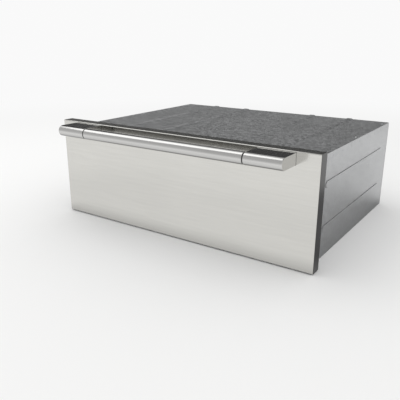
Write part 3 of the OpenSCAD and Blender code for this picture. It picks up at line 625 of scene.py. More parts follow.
@dataclass(frozen=True)
class ZincSheet(Finish):
    """Galvanised sheet with its frosty spangle."""

    name: str
    tone: Rgb = (0.52, 0.526, 0.53)
    rub_tone: Rgb = (0.62, 0.63, 0.63)
    spangle: float = 7 * MM
    scatter: float = 0.10
    metallic: float = 0.9
    roughness: float = 0.38
    spread: float = 0.1
    relief: float = 0.01 * MM
    warp_scale: float = 60.0
    warp: float = 4 * MM
    cloud_scale: float = 4.0
    cloud_depth: float = 0.16
    cloud_shade: float = 0.8
    cloud_dulling: float = 0.08
    rub_scale: float = 18.0
    rub_depth: float = 0.35

    def wire_up(self, on: Surface) -> None:
        """Feeds colour and roughness from cells of spangle, with rub marks.

        Args:
            on: surface of the material.
        """
        warp = on.add("ShaderNodeTexNoise", {"Vector": on.where, "Scale": self.warp_scale, "Detail": 2.0})
        at = on.vector("ADD", on.where, on.vector("MULTIPLY", warp.outputs[1], (self.warp,) * 3))
        cells = on.add("ShaderNodeTexVoronoi", {"Vector": at, "Scale": 1 / self.spangle})
        value = on.add("ShaderNodeSeparateColor", {0: cells.outputs[1]}).outputs[0]
        cloud, rubs = on.cloud(self.cloud_scale), on.rubs(self.rub_scale)
        colour = on.blend(value, toned(self.tone, 1 - self.scatter), toned(self.tone, 1 + self.scatter))
        dark = toned(self.tone, self.cloud_shade)
        colour = on.blend(on.math("MULTIPLY", cloud, self.cloud_depth), colour, dark)
        colour = on.blend(on.math("MULTIPLY", rubs, self.rub_depth), colour, self.rub_tone)
        rough = on.between(value, self.roughness - self.spread, self.roughness + self.spread)
        sockets = {
            "Base Color": colour, "Metallic": self.metallic,
            "Roughness": on.math("MULTIPLY_ADD", cloud, self.cloud_dulling, rough),
        }
        on.finish(sockets, value, self.relief)


@dataclass(frozen=True)
class PlatedSteel(Finish):
    """Plated steel that shifts a little in hue, with streaks along one direction."""

    name: str
    tone: Rgb
    tint: Rgb
    roughness: float = 0.22
    along: Axis = Axis.Y
    line: float = 1.4 * MM
    stretch: float = 0.02
    streak: Rgb = (0.3, 0.3, 0.3)
    streak_depth: float = 0.16
    polish: float = 0.05
    dulling: float = 0.08
    relief: float = 0.01 * MM
    cloud_scale: float = 26.0
    cloud_dulling: float = 0.06

    def wire_up(self, on: Surface) -> None:
        """Feeds colour and roughness from clouds of tint and drawn lines.

        Args:
            on: surface of the material.
        """
        streak, height = on.brushing(self.along, self.line, self.stretch)
        cloud = on.cloud(self.cloud_scale)
        deep = on.math("MULTIPLY", streak, self.streak_depth)
        rough = on.between(streak, self.roughness - self.polish, self.roughness + self.dulling)
        sockets = {
            "Base Color": on.blend(deep, on.blend(cloud, self.tone, self.tint), self.streak),
            "Metallic": 1.0, "Roughness": on.math("MULTIPLY_ADD", cloud, self.cloud_dulling, rough),
        }
        on.finish(sockets, height, self.relief)


@dataclass(frozen=True)
class Moulded(Finish):
    """Moulded plastic, rubber or ceramic with a fine grain."""

    name: str
    tone: Rgb
    roughness: float = 0.45
    grain: float = 0.7 * MM
    relief: float = 0.03 * MM
    dust: float = 0.06
    dust_tone: Rgb = (0.5, 0.48, 0.45)
    scatter: float = 0.15
    coat: float = 0.0
    spread: float = 0.06
    cloud_scale: float = 18.0
    cloud_dulling: float = 0.08

    def wire_up(self, on: Surface) -> None:
        """Feeds colour, roughness and normal from the grain and a trace of dust.

        Args:
            on: surface of the material.
        """
        speck, height = on.speckle(1 / self.grain)
        cloud = on.cloud(self.cloud_scale)
        colour = on.blend(speck, toned(self.tone, 1 - self.scatter), toned(self.tone, 1 + self.scatter))
        rough = on.between(speck, self.roughness - self.spread, self.roughness + self.spread)
        sockets = {
            "Base Color": on.blend(on.math("MULTIPLY", cloud, self.dust), colour, self.dust_tone),
            "Coat Weight": self.coat,
            "Roughness": on.math("MULTIPLY_ADD", cloud, self.cloud_dulling, rough),
        }
        on.finish(sockets, height, self.relief)


@dataclass(frozen=True)
class MineralWool(Finish):
    """Pressed mineral wool: matted fibres in three directions."""

    name: str
    tone: Rgb = (0.62, 0.56, 0.36)
    shades: tuple[float, float] = (0.6, 1.3)
    lightest: float = 0.9
    binder: Rgb = (0.45, 0.4, 0.28)
    binder_depth: float = 0.3
    fibres: tuple[Point, ...] = ((60.0, 700.0, 500.0), (700.0, 80.0, 600.0), (500.0, 600.0, 90.0))
    cloud_scale: float = 30.0
    sheen: float = 0.3
    relief: float = 0.5 * MM

    def wire_up(self, on: Surface) -> None:
        """Feeds colour and normal from crossed fibres.

        Args:
            on: surface of the material.
        """
        total: Any = 0.0
        for squeeze in self.fibres:
            total = on.math("ADD", total, on.effect(EFFECTS.grain, Squeeze=squeeze))
        fibre = on.math("DIVIDE", total, float(len(self.fibres)))
        bound = on.math("MULTIPLY", on.cloud(self.cloud_scale), self.binder_depth)
        low, high = (toned(self.tone, shade, self.lightest) for shade in self.shades)
        sockets = {
            "Base Color": on.blend(bound, on.blend(fibre, low, high), self.binder),
            "Roughness": 1.0, "Sheen Weight": self.sheen,
        }
        on.finish(sockets, fibre, self.relief)


@dataclass(frozen=True)
class HeatedTube(Finish):
    """Sheath of a heating element, tinted by heat, with pale ceramic at its ends."""

    name: str
    ceramic_from: float
    scale_tones: tuple[Rgb, Rgb] = ((0.10, 0.085, 0.075), (0.17, 0.155, 0.16))
    ceramic: Rgb = (0.82, 0.80, 0.74)
    cloud_scale: float = 22.0
    speck_scale: float = 900.0
    rough: tuple[float, float] = (0.42, 0.62)
    relief: float = 0.03 * MM

    def wire_up(self, on: Surface) -> None:
        """Feeds heat tints, and the ceramic behind a set depth.

        Args:
            on: surface of the material.
        """
        speck, height = on.speckle(self.speck_scale)
        depth = on.add("ShaderNodeSeparateXYZ", {0: on.where}).outputs[1]
        back = on.math("GREATER_THAN", depth, self.ceramic_from)
        scale = on.blend(on.cloud(self.cloud_scale), *self.scale_tones)
        sockets = {
            "Base Color": on.blend(back, scale, self.ceramic),
            "Metallic": on.math("SUBTRACT", 1.0, back), "Roughness": on.between(speck, *self.rough),
        }
        on.finish(sockets, height, self.relief)


@dataclass(frozen=True)
class Lens(Finish):
    """Clear coloured lens with fine ribs inside."""

    name: str
    tone: Rgb
    shade: float = 0.7
    clear: float = 0.7
    bending: float = 1.49
    rib_scale: float = 450.0
    rib_waver: float = 0.4
    cloud_scale: float = 120.0
    rough: tuple[float, float] = (0.06, 0.16)
    relief: float = 0.05 * MM

    def wire_up(self, on: Surface) -> None:
        """Feeds colour, roughness and a ribbed normal.

        Args:
            on: surface of the material.
        """
        place = {"Vector": on.where, "Scale": self.rib_scale, "Distortion": self.rib_waver}
        ribs = on.add("ShaderNodeTexWave", place, bands_direction="X").outputs[1]
        sockets = {
            "Base Color": on.blend(on.cloud(self.cloud_scale), self.tone, toned(self.tone, self.shade)),
            "Transmission Weight": self.clear, "IOR": self.bending,
            "Roughness": on.between(ribs, *self.rough),
        }
        on.finish(sockets, ribs, self.relief)


@dataclass(frozen=True)
class Braid(Finish):
    """Woven sleeve round a bundle of wires."""

    name: str
    tone: Rgb
    shade: float = 0.4
    turns: tuple[float, float] = (0.8, -0.8)
    strand_scale: float = 260.0
    strand_waver: float = 0.5
    rough: tuple[float, float] = (0.8, 0.55)
    relief: float = 0.25 * MM

    def wire_up(self, on: Surface) -> None:
        """Feeds colour and normal from two crossed sets of strands.

        Args:
            on: surface of the material.
        """
        strands = []
        for turn in self.turns:
            laid = on.add("ShaderNodeMapping", {"Vector": on.where, "Rotation": (turn,) * 3})
            place = {"Vector": laid, "Scale": self.strand_scale, "Distortion": self.strand_waver}
            strands.append(on.add("ShaderNodeTexWave", place).outputs[1])
        weave = on.math("MAXIMUM", *strands)
        sockets = {
            "Base Color": on.blend(weave, toned(self.tone, self.shade), self.tone),
            "Roughness": on.between(weave, *self.rough),
        }
        on.finish(sockets, weave, self.relief)


# The front's left, right and bottom faces take a near-black painted shade, standing in for dark reflections of its
# surroundings.
FRONT_STEEL = BrushedSteel(
    "front_steel", (0.668, 0.660, 0.628), 0.15, line=0.5 * MM, contrast=0.034, relief=0.003 * MM,
    anisotropy=0.3, mottle=0.015, spread=0.02, broad=0.8, flank=(0.048, 0.048, 0.047),
)
# Faces of the bar and blocks turned to the back and underneath take a darker painted shade, standing in for shade and
# dark reflections.
HANDLE_STEEL = BrushedSteel(
    "handle_steel", (0.62, 0.616, 0.604), 0.12, line=0.4 * MM, contrast=0.025, relief=0.002 * MM,
    anisotropy=0.1, mottle=0.02, spread=0.015, flank=(0.27, 0.268, 0.263),
    flank_ways=((0.0, 1.0, 0.0), (0.0, 0.1, -0.78)), flank_turn=(0.15, 0.6),
)
TUB_STEEL = BrushedSteel(
    "tub_steel", (0.62, 0.618, 0.61), 0.27, line=0.9 * MM, contrast=0.02, relief=0.002 * MM,
    anisotropy=0.2, mottle=0.02, spread=0.03,
)
CAVITY_STEEL = BrushedSteel("cavity_steel", (0.50, 0.498, 0.49), 0.36, Axis.Y, line=1.6 * MM, contrast=0.06)
PANEL_STEEL = BrushedSteel("panel_steel", (0.50, 0.498, 0.49), 0.32, line=1.2 * MM, contrast=0.06)
SHUTTER_STEEL = BrushedSteel("shutter_steel", (0.39, 0.388, 0.38), 0.26, line=0.7 * MM, contrast=0.05)
RAIL_STEEL = BrushedSteel("rail_steel", (0.52, 0.52, 0.515), 0.30, Axis.Y, line=0.9 * MM, contrast=0.06)
CASING_ZINC = ZincSheet("casing_zinc")
MOTOR_STEEL = PlatedSteel("motor_steel", (0.33, 0.34, 0.35), (0.42, 0.42, 0.42), 0.42, Axis.X, 1.0 * MM)
SLIDE_ZINC = PlatedSteel("slide_zinc", (0.58, 0.585, 0.59), (0.53, 0.54, 0.555))
SCREW_ZINC = PlatedSteel("screw_zinc", (0.62, 0.62, 0.60), (0.55, 0.57, 0.60), 0.25, Axis.X, 0.5 * MM)
CAGE_ZINC = PlatedSteel("cage_zinc", (0.62, 0.50, 0.22), (0.55, 0.45, 0.36), 0.28)
BALL_STEEL = PlatedSteel("ball_steel", (0.78, 0.78, 0.78), (0.70, 0.71, 0.72), 0.06, Axis.X, 0.4 * MM)
THERMOSTAT_STEEL = PlatedSteel("thermostat_steel", (0.50, 0.48, 0.42), (0.44, 0.43, 0.40), 0.35)
PROBE_COPPER = PlatedSteel("probe_copper", (0.60, 0.33, 0.20), (0.48, 0.24, 0.14), 0.3)
CONTROL_BLACK = Moulded("control_black", (0.022, 0.022, 0.024), 0.42)
KNOB_BLACK = Moulded("knob_black", (0.018, 0.018, 0.02), 0.34, coat=0.15)
COLLAR_BLACK = Moulded("collar_black", (0.03, 0.03, 0.03), 0.5)
SEAL_SILICONE = Moulded("seal_silicone", (0.07, 0.07, 0.072), 0.62, 1.1 * MM, 0.05 * MM, 0.12)
BUMPER_RUBBER = Moulded("bumper_rubber", (0.02, 0.02, 0.02), 0.7, 1.2 * MM, 0.06 * MM, 0.15)
MAT_RUBBER = Moulded("mat_rubber", (0.045, 0.045, 0.048), 0.62, 1.3 * MM, 0.08 * MM, 0.045)
TERMINAL_IVORY = Moulded("terminal_ivory", (0.62, 0.58, 0.46), 0.4)
MARK_WHITE = Moulded("mark_white", (0.75, 0.75, 0.73), 0.5, dust=0.0)
DIAL_INK = Moulded("dial_ink", (0.025, 0.025, 0.028), 0.5, dust=0.04)
WOOL = MineralWool("mineral_wool")
ELEMENT = HeatedTube("element_sheath", Span.of("liner_back").low.y - 2.4 * MM)
PILOT_AMBER = Lens("pilot_amber", (0.85, 0.27, 0.04))
LOOM = Braid("wire_sleeve", (0.05, 0.05, 0.055))


# --- Meshes -------------------------------------------------------------------


def placed(name: str, data: Any) -> Piece:
    """Makes an object in the scene.

    Args:
        name: name of the object.
        data: its mesh, curve, camera or light.

    Returns:
        The object.
    """
    made = bpy.data.objects.new(name, data)
    bpy.context.scene.collection.objects.link(made)
    return made


def finished(
    name: str, bm: BMesh, finish: Finish, slot: str, body: str, smooth: float = 35.0,
) -> Piece:
    """Turns a mesh into a piece of the model.

    Args:
        name: name of the piece.
        bm: its mesh, in place; it is used up.
        finish: its finish.
        slot: the record's material slot.
        body: the body that it rides on.
        smooth: angle in degrees past which an edge stays sharp.

    Returns:
        The piece.
    """
    bmesh.ops.remove_doubles(bm, verts=bm.verts, dist=MERGE)
    bmesh.ops.recalc_face_normals(bm, faces=bm.faces)
    limit = math.radians(smooth)
    for edge in bm.edges:
        edge.smooth = len(edge.link_faces) == 2 and edge.calc_face_angle(math.pi) < limit
    for face in bm.faces:
        face.smooth = True
    mesh = bpy.data.meshes.new(name)
    bm.to_mesh(mesh)
    bm.free()
    made = placed(name, mesh)
    mesh.materials.append(finish.material())
    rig.ride(made, body)
    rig.slot(made, slot)
    return made


def rounded_loop(half_x: float, half_y: float, radius: float, steps: int = 8) -> list[tuple[float, float]]:
    """Lays out a rectangle about the origin with round corners.

    Args:
        half_x: half of its width.
        half_y: half of its depth.
        radius: radius of its corners.
        steps: straight pieces in each corner.

    Returns:
        Its points, anticlockwise.
    """
    radius = min(radius, half_x, half_y)
    points = []
    for quarter, (sx, sy) in enumerate(((1, 1), (-1, 1), (-1, -1), (1, -1))):
        middle_x, middle_y = sx * (half_x - radius), sy * (half_y - radius)
        for i in range(steps + 1):
            a = math.radians(90 * quarter + 90 * i / steps)
            points.append((middle_x + radius * math.cos(a), middle_y + radius * math.sin(a)))
    return points


def turned_rings(
    radius: float, height: float, profile: Profile, angles: Sequence[float],
) -> list[list[Vector]]:
    """Turns a profile about the Z axis.

    Args:
        radius: the shape's radius.
        height: the shape's height.
        profile: pairs of radius and height, as shares of the two sizes above.
        angles: angles of the points of a ring.

    Returns:
        One ring of points for each pair.
    """
    return [
        [Vector((radius * r * math.cos(a), radius * r * math.sin(a), height * h)) for a in angles]
        for r, h in profile
    ]


def skin_rings(bm: BMesh, rings: Sequence[Sequence[Vector]]) -> None:
    """Joins closed rings of equal count with quads.

    Args:
        bm: mesh that takes the faces.
        rings: rings of points in order.
    """
    made = [[bm.verts.new(p) for p in ring] for ring in rings]
    count = len(made[0])
    for low, high in zip(made, made[1:]):
        for i in range(count):
            j = (i + 1) % count
            bm.faces.new((low[i], low[j], high[j], high[i]))


def cap_ring(bm: BMesh, ring: Iterable[Vector]) -> None:
    """Closes a ring of points with one face."""
    bm.faces.new([bm.verts.new(p) for p in ring])


def grown(
    name: str, seed: bpy.types.Mesh, tree: Tree, values: dict[str, Any], slot: str, body: str,
) -> Piece:
    """Runs a geometry tree and keeps its result as a plain mesh.

    Args:
        name: name of the piece.
        seed: mesh that the tree starts from.
        tree: the geometry tree.
        values: its named inputs.
        slot: the record's material slot.
        body: the body that the piece rides on.

    Returns:
        The piece.
    """
    made = placed(name, seed)
    modifier = made.modifiers.new(name, "NODES")
    modifier.node_group = tree
    for item in tree.interface.items_tree:
        if item.item_type == "SOCKET" and item.in_out == "INPUT" and item.name in values:
            modifier[item.identifier] = values[item.name]
    graph = bpy.context.evaluated_depsgraph_get()
    result = bpy.data.meshes.new_from_object(
        made.evaluated_get(graph), preserve_all_data_layers=True, depsgraph=graph,
    )
    made.modifiers.clear()
    made.data = result
    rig.ride(made, body)
    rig.slot(made, slot)
    return made


class Growers:
    """Geometry trees for what repeats or follows a path."""

    foot_share: float = 0.14
    bulb_rise: float = 1.15
    bulb_sides: int = 14
    corner_steps: int = 7
    rib_sides: int = 12

    def __init__(self) -> None:
        """Builds the trees."""
        self.on_points = self._on_points()
        self.seal = self._seal()
        self.ribs = self._ribs()

    @staticmethod
    def _close(wire: Wiring, source: Node, sink: Node, shape: Node) -> None:
        """Ends a tree: makes copies real and sets the finish.

        Args:
            wire: wiring of the tree.
            source: the tree's input node, which has an output called Finish.
            sink: the tree's output node.
            shape: node whose first output is the tree's shape.
        """
        real = wire.add("GeometryNodeRealizeInstances", {0: shape})
        sockets = {0: real, "Material": source.outputs["Finish"]}
        wire.feed(sink, 0, wire.add("GeometryNodeSetMaterial", sockets))

    def _on_points(self) -> Tree:
        """Builds a tree that sets a copy of one shape on every point, along the point's axis.

        Returns:
            The tree, with inputs Points, Shape, Size, Spin, Seed and Finish.
        """
        ins = {
            "Points": (GEOMETRY, None), "Shape": (OBJECT, None), "Size": (FLOAT, 1.0),
            "Spin": (FLOAT, 6.283), "Seed": (INTEGER, 3), "Finish": (MATERIAL, None),
        }
        source, sink, wire = group_tree("copies_on_points", ins, {"Copies": GEOMETRY}, "GeometryNodeTree")
        shape = wire.add("GeometryNodeObjectInfo", {"Object": source.outputs["Shape"]})
        axis = wire.add("GeometryNodeInputNamedAttribute", {"Name": "axis"}, data_type="FLOAT_VECTOR")
        turn = wire.add("FunctionNodeAlignRotationToVector", {"Vector": axis}, axis="Z")
        spin = wire.add("FunctionNodeRandomValue", {"Seed": source.outputs["Seed"]}, data_type="FLOAT")
        wire.feed(spin, 2, 0.0)
        wire.feed(spin, 3, source.outputs["Spin"])
        about = wire.add("ShaderNodeCombineXYZ", {2: spin.outputs[1]})
        euler = wire.add("FunctionNodeEulerToRotation", {0: about})
        sockets = {0: turn, 1: euler}
        both = wire.add("FunctionNodeRotateRotation", sockets, rotation_space="LOCAL")
        copies = wire.add("GeometryNodeInstanceOnPoints", {
            "Points": source.outputs["Points"], "Instance": shape.outputs["Geometry"],
            "Rotation": both, "Scale": source.outputs["Size"],
        })
        self._close(wire, source, sink, copies)
        return wire.tree

    def _seal(self) -> Tree:
        """Builds a tree that runs a bulb seal round a rectangle in X and Z with round corners.

        Returns:
            The tree, with inputs Width, Height, Corner, Bulb, Foot, Centre and Finish.
        """
        ins = {
            "Width": (FLOAT, 0.6), "Height": (FLOAT, 0.2), "Corner": (FLOAT, 0.01), "Bulb": (FLOAT, 0.002),
            "Foot": (FLOAT, 0.007), "Centre": (VECTOR, (0, 0, 0)), "Finish": (MATERIAL, None),
        }
        source, sink, wire = group_tree("seal_round_mouth", ins, {"Seal": GEOMETRY}, "GeometryNodeTree")
        sockets = {0: source.outputs["Width"], 1: source.outputs["Height"]}
        quad = wire.add("GeometryNodeCurvePrimitiveQuadrilateral", sockets)
        sockets = {"Curve": quad, "Radius": source.outputs["Corner"], "Count": self.corner_steps}
        bent = wire.add("GeometryNodeFilletCurve", sockets, mode="POLY")
        sockets = {"Resolution": self.bulb_sides, "Radius": source.outputs["Bulb"]}
        bulb = wire.add("GeometryNodeCurvePrimitiveCircle", sockets)
        foot_high = wire.math("MULTIPLY", source.outputs["Foot"], self.foot_share)
        foot = wire.add("GeometryNodeCurvePrimitiveQuadrilateral", {0: source.outputs["Foot"], 1: foot_high})
        profile = wire.add("GeometryNodeJoinGeometry")
        bulb_rise = wire.math("MULTIPLY", source.outputs["Bulb"], self.bulb_rise)
        for part, rise in ((bulb, bulb_rise), (foot, wire.math("MULTIPLY", foot_high, 0.5))):
            up = wire.add("ShaderNodeCombineXYZ", {1: rise})
            raised = wire.add("GeometryNodeTransform", {"Geometry": part, "Translation": up})
            wire.feed(profile, 0, raised)
        sockets = {"Curve": bent, "Profile Curve": profile}
        swept = wire.add("GeometryNodeCurveToMesh", sockets)
        stood = wire.add("GeometryNodeTransform", {
            "Geometry": swept, "Translation": source.outputs["Centre"],
            "Rotation": (-math.pi / 2, 0.0, 0.0),
        })
        smooth = wire.add("GeometryNodeSetShadeSmooth", {0: stood})
        self._close(wire, source, sink, smooth)
        return wire.tree

    def _ribs(self) -> Tree:
        """Builds a tree that lays round rods side by side; sunk in a sheet, they are half-round ribs.

        Returns:
            The tree, with inputs Length, Pitch, Count, Radius, Centre and Finish.
        """
        ins = {
            "Length": (FLOAT, 0.5), "Pitch": (FLOAT, 0.006), "Count": (INTEGER, 20),
            "Radius": (FLOAT, 0.0015), "Centre": (VECTOR, (0, 0, 0)), "Finish": (MATERIAL, None),
        }
        source, sink, wire = group_tree("ribs_side_by_side", ins, {"Ribs": GEOMETRY}, "GeometryNodeTree")
        tube = wire.add("GeometryNodeMeshCylinder", {
            "Vertices": self.rib_sides, "Side Segments": 1,
            "Radius": source.outputs["Radius"], "Depth": source.outputs["Length"],
        })
        sockets = {"Geometry": tube, "Rotation": (0.0, math.pi / 2, 0.0)}
        lying = wire.add("GeometryNodeTransform", sockets)
        gaps = wire.math("SUBTRACT", source.outputs["Count"], 1.0)
        back = wire.math("MULTIPLY", wire.math("MULTIPLY", gaps, source.outputs["Pitch"]), -0.5)
        start = wire.vector("ADD", source.outputs["Centre"], wire.add("ShaderNodeCombineXYZ", {1: back}))
        step = wire.add("ShaderNodeCombineXYZ", {1: source.outputs["Pitch"]})
        row = wire.add("GeometryNodeMeshLine", {
            "Count": source.outputs["Count"], "Start Location": start, "Offset": step,
        })
        sockets = {"Points": row, "Instance": lying}
        copies = wire.add("GeometryNodeInstanceOnPoints", sockets)
        smooth = wire.add("GeometryNodeSetShadeSmooth", {0: copies})
        self._close(wire, source, sink, smooth)
        return wire.tree


GROWERS = Growers()


# --- Sub-assemblies -----------------------------------------------------------


def dress(finish: Finish, *nodes: str) -> None:
    """Gives CAD nodes a finish.

    Args:
        finish: the finish.
        *nodes: names of the nodes.
    """
    for name in nodes:
        slots = frame["nodes"][name].data.materials
        slots.clear()
        slots.append(finish.material())


@dataclass
class Seats:
    """Places that heads or marks of one kind sit on, each with the way that it faces."""

    points: list[Point] = field(default_factory=list)
    axes: list[Point] = field(default_factory=list)

    def add(self, point: Point, axis: Point) -> None:
        """Adds one place."""
        self.points.append(point)
        self.axes.append(axis)

    def mesh(self, name: str) -> bpy.types.Mesh:
        """Makes a mesh of bare points, each with the axis that its copy stands along.

        Args:
            name: name of the mesh.

        Returns:
            The mesh, with a vector attribute called axis.
        """
        mesh = bpy.data.meshes.new(name)
        mesh.from_pydata([tuple(p) for p in self.points], [], [])
        attribute = mesh.attributes.new("axis", "FLOAT_VECTOR", "POINT")
        attribute.data.foreach_set("vector", [c for a in self.axes for c in a])
        return mesh


@dataclass
class Fixings:
    """Shapes of heads, rivets and welds, from which the copies are made."""

    head_radius: float = 3.9 * MM
    head_height: float = 1.95 * MM
    head_recess: float = 0.66
    head_profile: Profile = ((1.0, 0.0), (1.0, 0.30), (0.97, 0.52), (0.89, 0.75), (0.76, 0.92), (0.66, 1.0))
    flat_radius: float = 2.95 * MM
    flat_height: float = 0.12 * MM
    flat_profile: Profile = ((1.0, -1.0), (1.0, 0.4), (0.95, 1.0))
    flat_recess: float = 1.0 * MM
    flat_cross: float = 0.85
    rivet_radius: float = 3.1 * MM
    rivet_height: float = 0.78 * MM
    rivet_profile: Profile = ((1.0, 0.0), (1.0, 0.25), (0.92, 0.55), (0.72, 0.82), (0.42, 0.97))
    weld_profile: Profile = ((1.0, 0.0), (0.86, 0.10), (0.7, 0.03), (0.5, 0.01))
    cross: float = 2.1 * MM
    cross_width: float = 0.75 * MM
    cross_taper: float = 0.6
    sides: int = 24
    round_sides: int = 16
    crease: float = math.radians(32)
    templates: list[Piece] = field(default_factory=list)

    def pan_head(self) -> Piece:
        """Returns a pan head with a cross recess, standing up from Z = 0, for copies."""
        depth = self.head_height * self.head_recess
        return self._cross_head(
            "pan_head", self.head_radius, self.head_height, self.head_profile, self.cross, depth,
        )

    def flat_head(self) -> Piece:
        """Returns a flat head with a cross recess whose top lies just over Z = 0, for copies."""
        arm = self.cross * self.flat_cross
        return self._cross_head(
            "flat_head", self.flat_radius, self.flat_height, self.flat_profile, arm, self.flat_recess,
        )

    def _cross_head(
        self, name: str, radius: float, height: float, profile: Profile, arm: float, depth: float,
    ) -> Piece:
        """Makes a turned head with a tapered cross recess in its top.

        Args:
            name: name of the shape.
            radius: radius of the head.
            height: height of its top.
            profile: pairs of radius and height, as shares of the two sizes above.
            arm: reach of the recess from the middle.
            depth: depth of the recess.

        Returns:
            An object that isn't shown, for copies.
        """
        bm = bmesh.new()
        angles = [2 * math.pi * (i + 0.5) / self.sides for i in range(self.sides)]
        skin_rings(bm, turned_rings(radius, height, profile, angles))
        half = self.cross_width / 2
        plus = [(arm, -half), (arm, half), (half, half), (half, arm), (-half, arm), (-half, half),
                (-arm, half), (-arm, -half), (-half, -half), (-half, -arm), (half, -arm), (half, -half)]
        foot = [Vector((x * self.cross_taper, y * self.cross_taper, height - depth)) for x, y in plus]
        skin_rings(bm, [[Vector((x, y, height)) for x, y in plus], foot])
        cap_ring(bm, foot)
        bmesh.ops.remove_doubles(bm, verts=bm.verts, dist=MERGE_FINE)
        rim = [e for e in bm.edges if e.is_boundary and min(v.co.z for v in e.verts) > height - MERGE]
        bmesh.ops.triangle_fill(bm, edges=rim, use_beauty=True)
        return self._template(name, bm)

    def rivet(self) -> Piece:
        """Returns the low dome of a rivet, standing up from Z = 0, for copies."""
        return self._turned("rivet", self.rivet_radius, self.rivet_height, self.rivet_profile)

    def weld_mark(self, radius: float) -> Piece:
        """Returns the shallow ring that a spot weld of that radius leaves, for copies."""
        return self._turned("weld_mark", radius, radius, self.weld_profile)

    def _turned(self, name: str, radius: float, height: float, profile: Profile) -> Piece:
        """Makes a turned shape that is open below.

        Args:
            name: name of the shape.
            radius: its radius.
            height: its height.
            profile: pairs of radius and height, as shares of the two sizes above.

        Returns:
            An object that isn't shown, for copies.
        """
        bm = bmesh.new()
        angles = [2 * math.pi * i / self.round_sides for i in range(self.round_sides)]
        rings = turned_rings(radius, height, profile, angles)
        skin_rings(bm, rings)
        cap_ring(bm, rings[-1])
        bmesh.ops.remove_doubles(bm, verts=bm.verts, dist=MERGE_FINE)
        return self._template(name, bm)

    def _template(self, name: str, bm: BMesh) -> Piece:
        """Makes the shape that copies are taken from, smooth but for its sharp edges.

        Args:
            name: name of the shape.
            bm: its mesh; it is used up.

        Returns:
            An object that is kept out of the scene.
        """
        bmesh.ops.recalc_face_normals(bm, faces=bm.faces)
        top = max(bm.faces, key=lambda f: f.calc_center_median().z)
        if top.normal.z < 0:
            bmesh.ops.reverse_faces(bm, faces=bm.faces)
        for face in bm.faces:
            face.smooth = True
        for edge in bm.edges:
            edge.smooth = edge.calc_face_angle(math.pi) < self.crease
        mesh = bpy.data.meshes.new(name)
        bm.to_mesh(mesh)
        bm.free()
        made = bpy.data.objects.new(name, mesh)
        self.templates.append(made)
        return made

    def clear(self) -> None:
        """Removes the shapes that the copies were made from."""
        for made in self.templates:
            bpy.data.objects.remove(made)
        self.templates.clear()


FIXINGS = Fixings()


def set_copies(name: str, shape: Piece, seats: Seats, finish: Finish, slot: str, body: str) -> Piece:
    """Sets a copy of a shape on every seat, each turned by a fixed random amount.

    Args:
        name: name of the piece.
        shape: shape to copy.
        seats: places and directions.
        finish: finish of the copies.
        slot: the record's material slot.
        body: the body that they ride on.

    Returns:
        All the copies, as one piece.
    """
    values = {"Shape": shape, "Size": 1.0, "Seed": SEEDS[name], "Finish": finish.material()}
    return grown(name, seats.mesh(name), GROWERS.on_points, values, slot, body)


@dataclass
class Casing:
    """Zinc casing with its screws and welds."""

    side: Span = around("side_panel_right")
    back: Span = around("back_panel")
    rails: Span = around("slide_outer_right")
    lens: Span = around("pilot_lens")
    shutter: Span = around("vent_shutter")
    lip: float = 15.0 * MM
    cover_inset: tuple[float, float] = (60.0 * MM, 40.0 * MM)
    back_screws: tuple[float, ...] = (45.0 * MM, 125.0 * MM, 205.0 * MM)
    guide_x: float = 62.5 * MM
    guide_sink: float = 0.4 * MM
    weld_radius: float = 2.6 * MM
    weld_pitch: float = 62.0 * MM
    weld_start: float = 30.0 * MM
    weld_end: float = 10.0 * MM
    weld_inset: float = 9.0 * MM

    @property
    def lip_x(self) -> float:
        """Returns the middle of the folded lips that the screws go through."""
        return self.back.high.x - SHEET - self.lip / 2

    def dress(self) -> None:
        """Gives the casing's CAD nodes their finishes."""
        dress(CASING_ZINC, "base_pan", "side_panel_left", "side_panel_right", "top_cover", "back_panel")
        dress(WOOL, "insulation_blanket")
        dress(SCREW_ZINC, "casing_screws")

    def build_pan_heads(self) -> Piece:
        """Sets cross-recessed heads on the cover's and the back's screws.

        Returns:
            The heads, as one piece.
        """
        seats = Seats()
        front, rear = self.side.low.y, self.back.high.y
        rows = (front + self.cover_inset[0], (front + rear) / 2, rear - self.cover_inset[1])
        for side in Side:
            x = side.value * self.lip_x
            for y in rows:
                seats.add((x, y, self.back.high.z + PROUD), (0, 0, 1))
            for z in self.back_screws:
                seats.add((x, rear + PROUD, z), (0, 1, 0))
        shape = FIXINGS.pan_head()
        return set_copies("casing_screw_heads", shape, seats, SCREW_ZINC, "screw_zinc", "casing")

    def build_flat_heads(self) -> Piece:
        """Sets flat heads in the slides' outer members.

        Returns:
            The heads, as one piece.
        """
        seats = Seats()
        web = self.rails.high.x - SHEET
        for side in Side:
            for y in SLIDE_HOLES:
                seats.add((side.value * web, self.rails.low.y + y, self.rails.middle.z), (-side.value, 0, 0))
        shape = FIXINGS.flat_head()
        return set_copies("slide_screw_heads", shape, seats, SCREW_ZINC, "screw_zinc", "casing")

    def build_rivets(self) -> Piece:
        """Sets domed heads on the two rivets that guide the shutter, a little behind the lens's front.

        Returns:
            The rivets, as one piece.
        """
        seats = Seats()
        under = self.lens.low.y + self.guide_sink
        for side in Side:
            seats.add((side.value * self.guide_x, under, self.shutter.middle.z), (0, -1, 0))
        shape = FIXINGS.rivet()
        return set_copies("shutter_rivets", shape, seats, SCREW_ZINC, "screw_zinc", "casing")

    def build_welds(self) -> Piece:
        """Sets spot-weld marks where the side panels are joined to the floor and the cover's lips.

        Returns:
            The marks, as one piece.
        """
        seats = Seats()
        length = self.side.high.y - self.side.low.y - self.weld_start - self.weld_end
        levels = (self.side.low.z + self.weld_inset, self.side.high.z - self.weld_inset)
        for side in Side:
            for i in range(int(length / self.weld_pitch) + 1):
                y = self.side.low.y + self.weld_start + i * self.weld_pitch
                for z in levels:
                    seats.add((side.value * self.back.high.x, y, z), (side.value, 0, 0))
        shape = FIXINGS.weld_mark(self.weld_radius)
        return set_copies("casing_welds", shape, seats, CASING_ZINC, "casing_zinc", "casing")


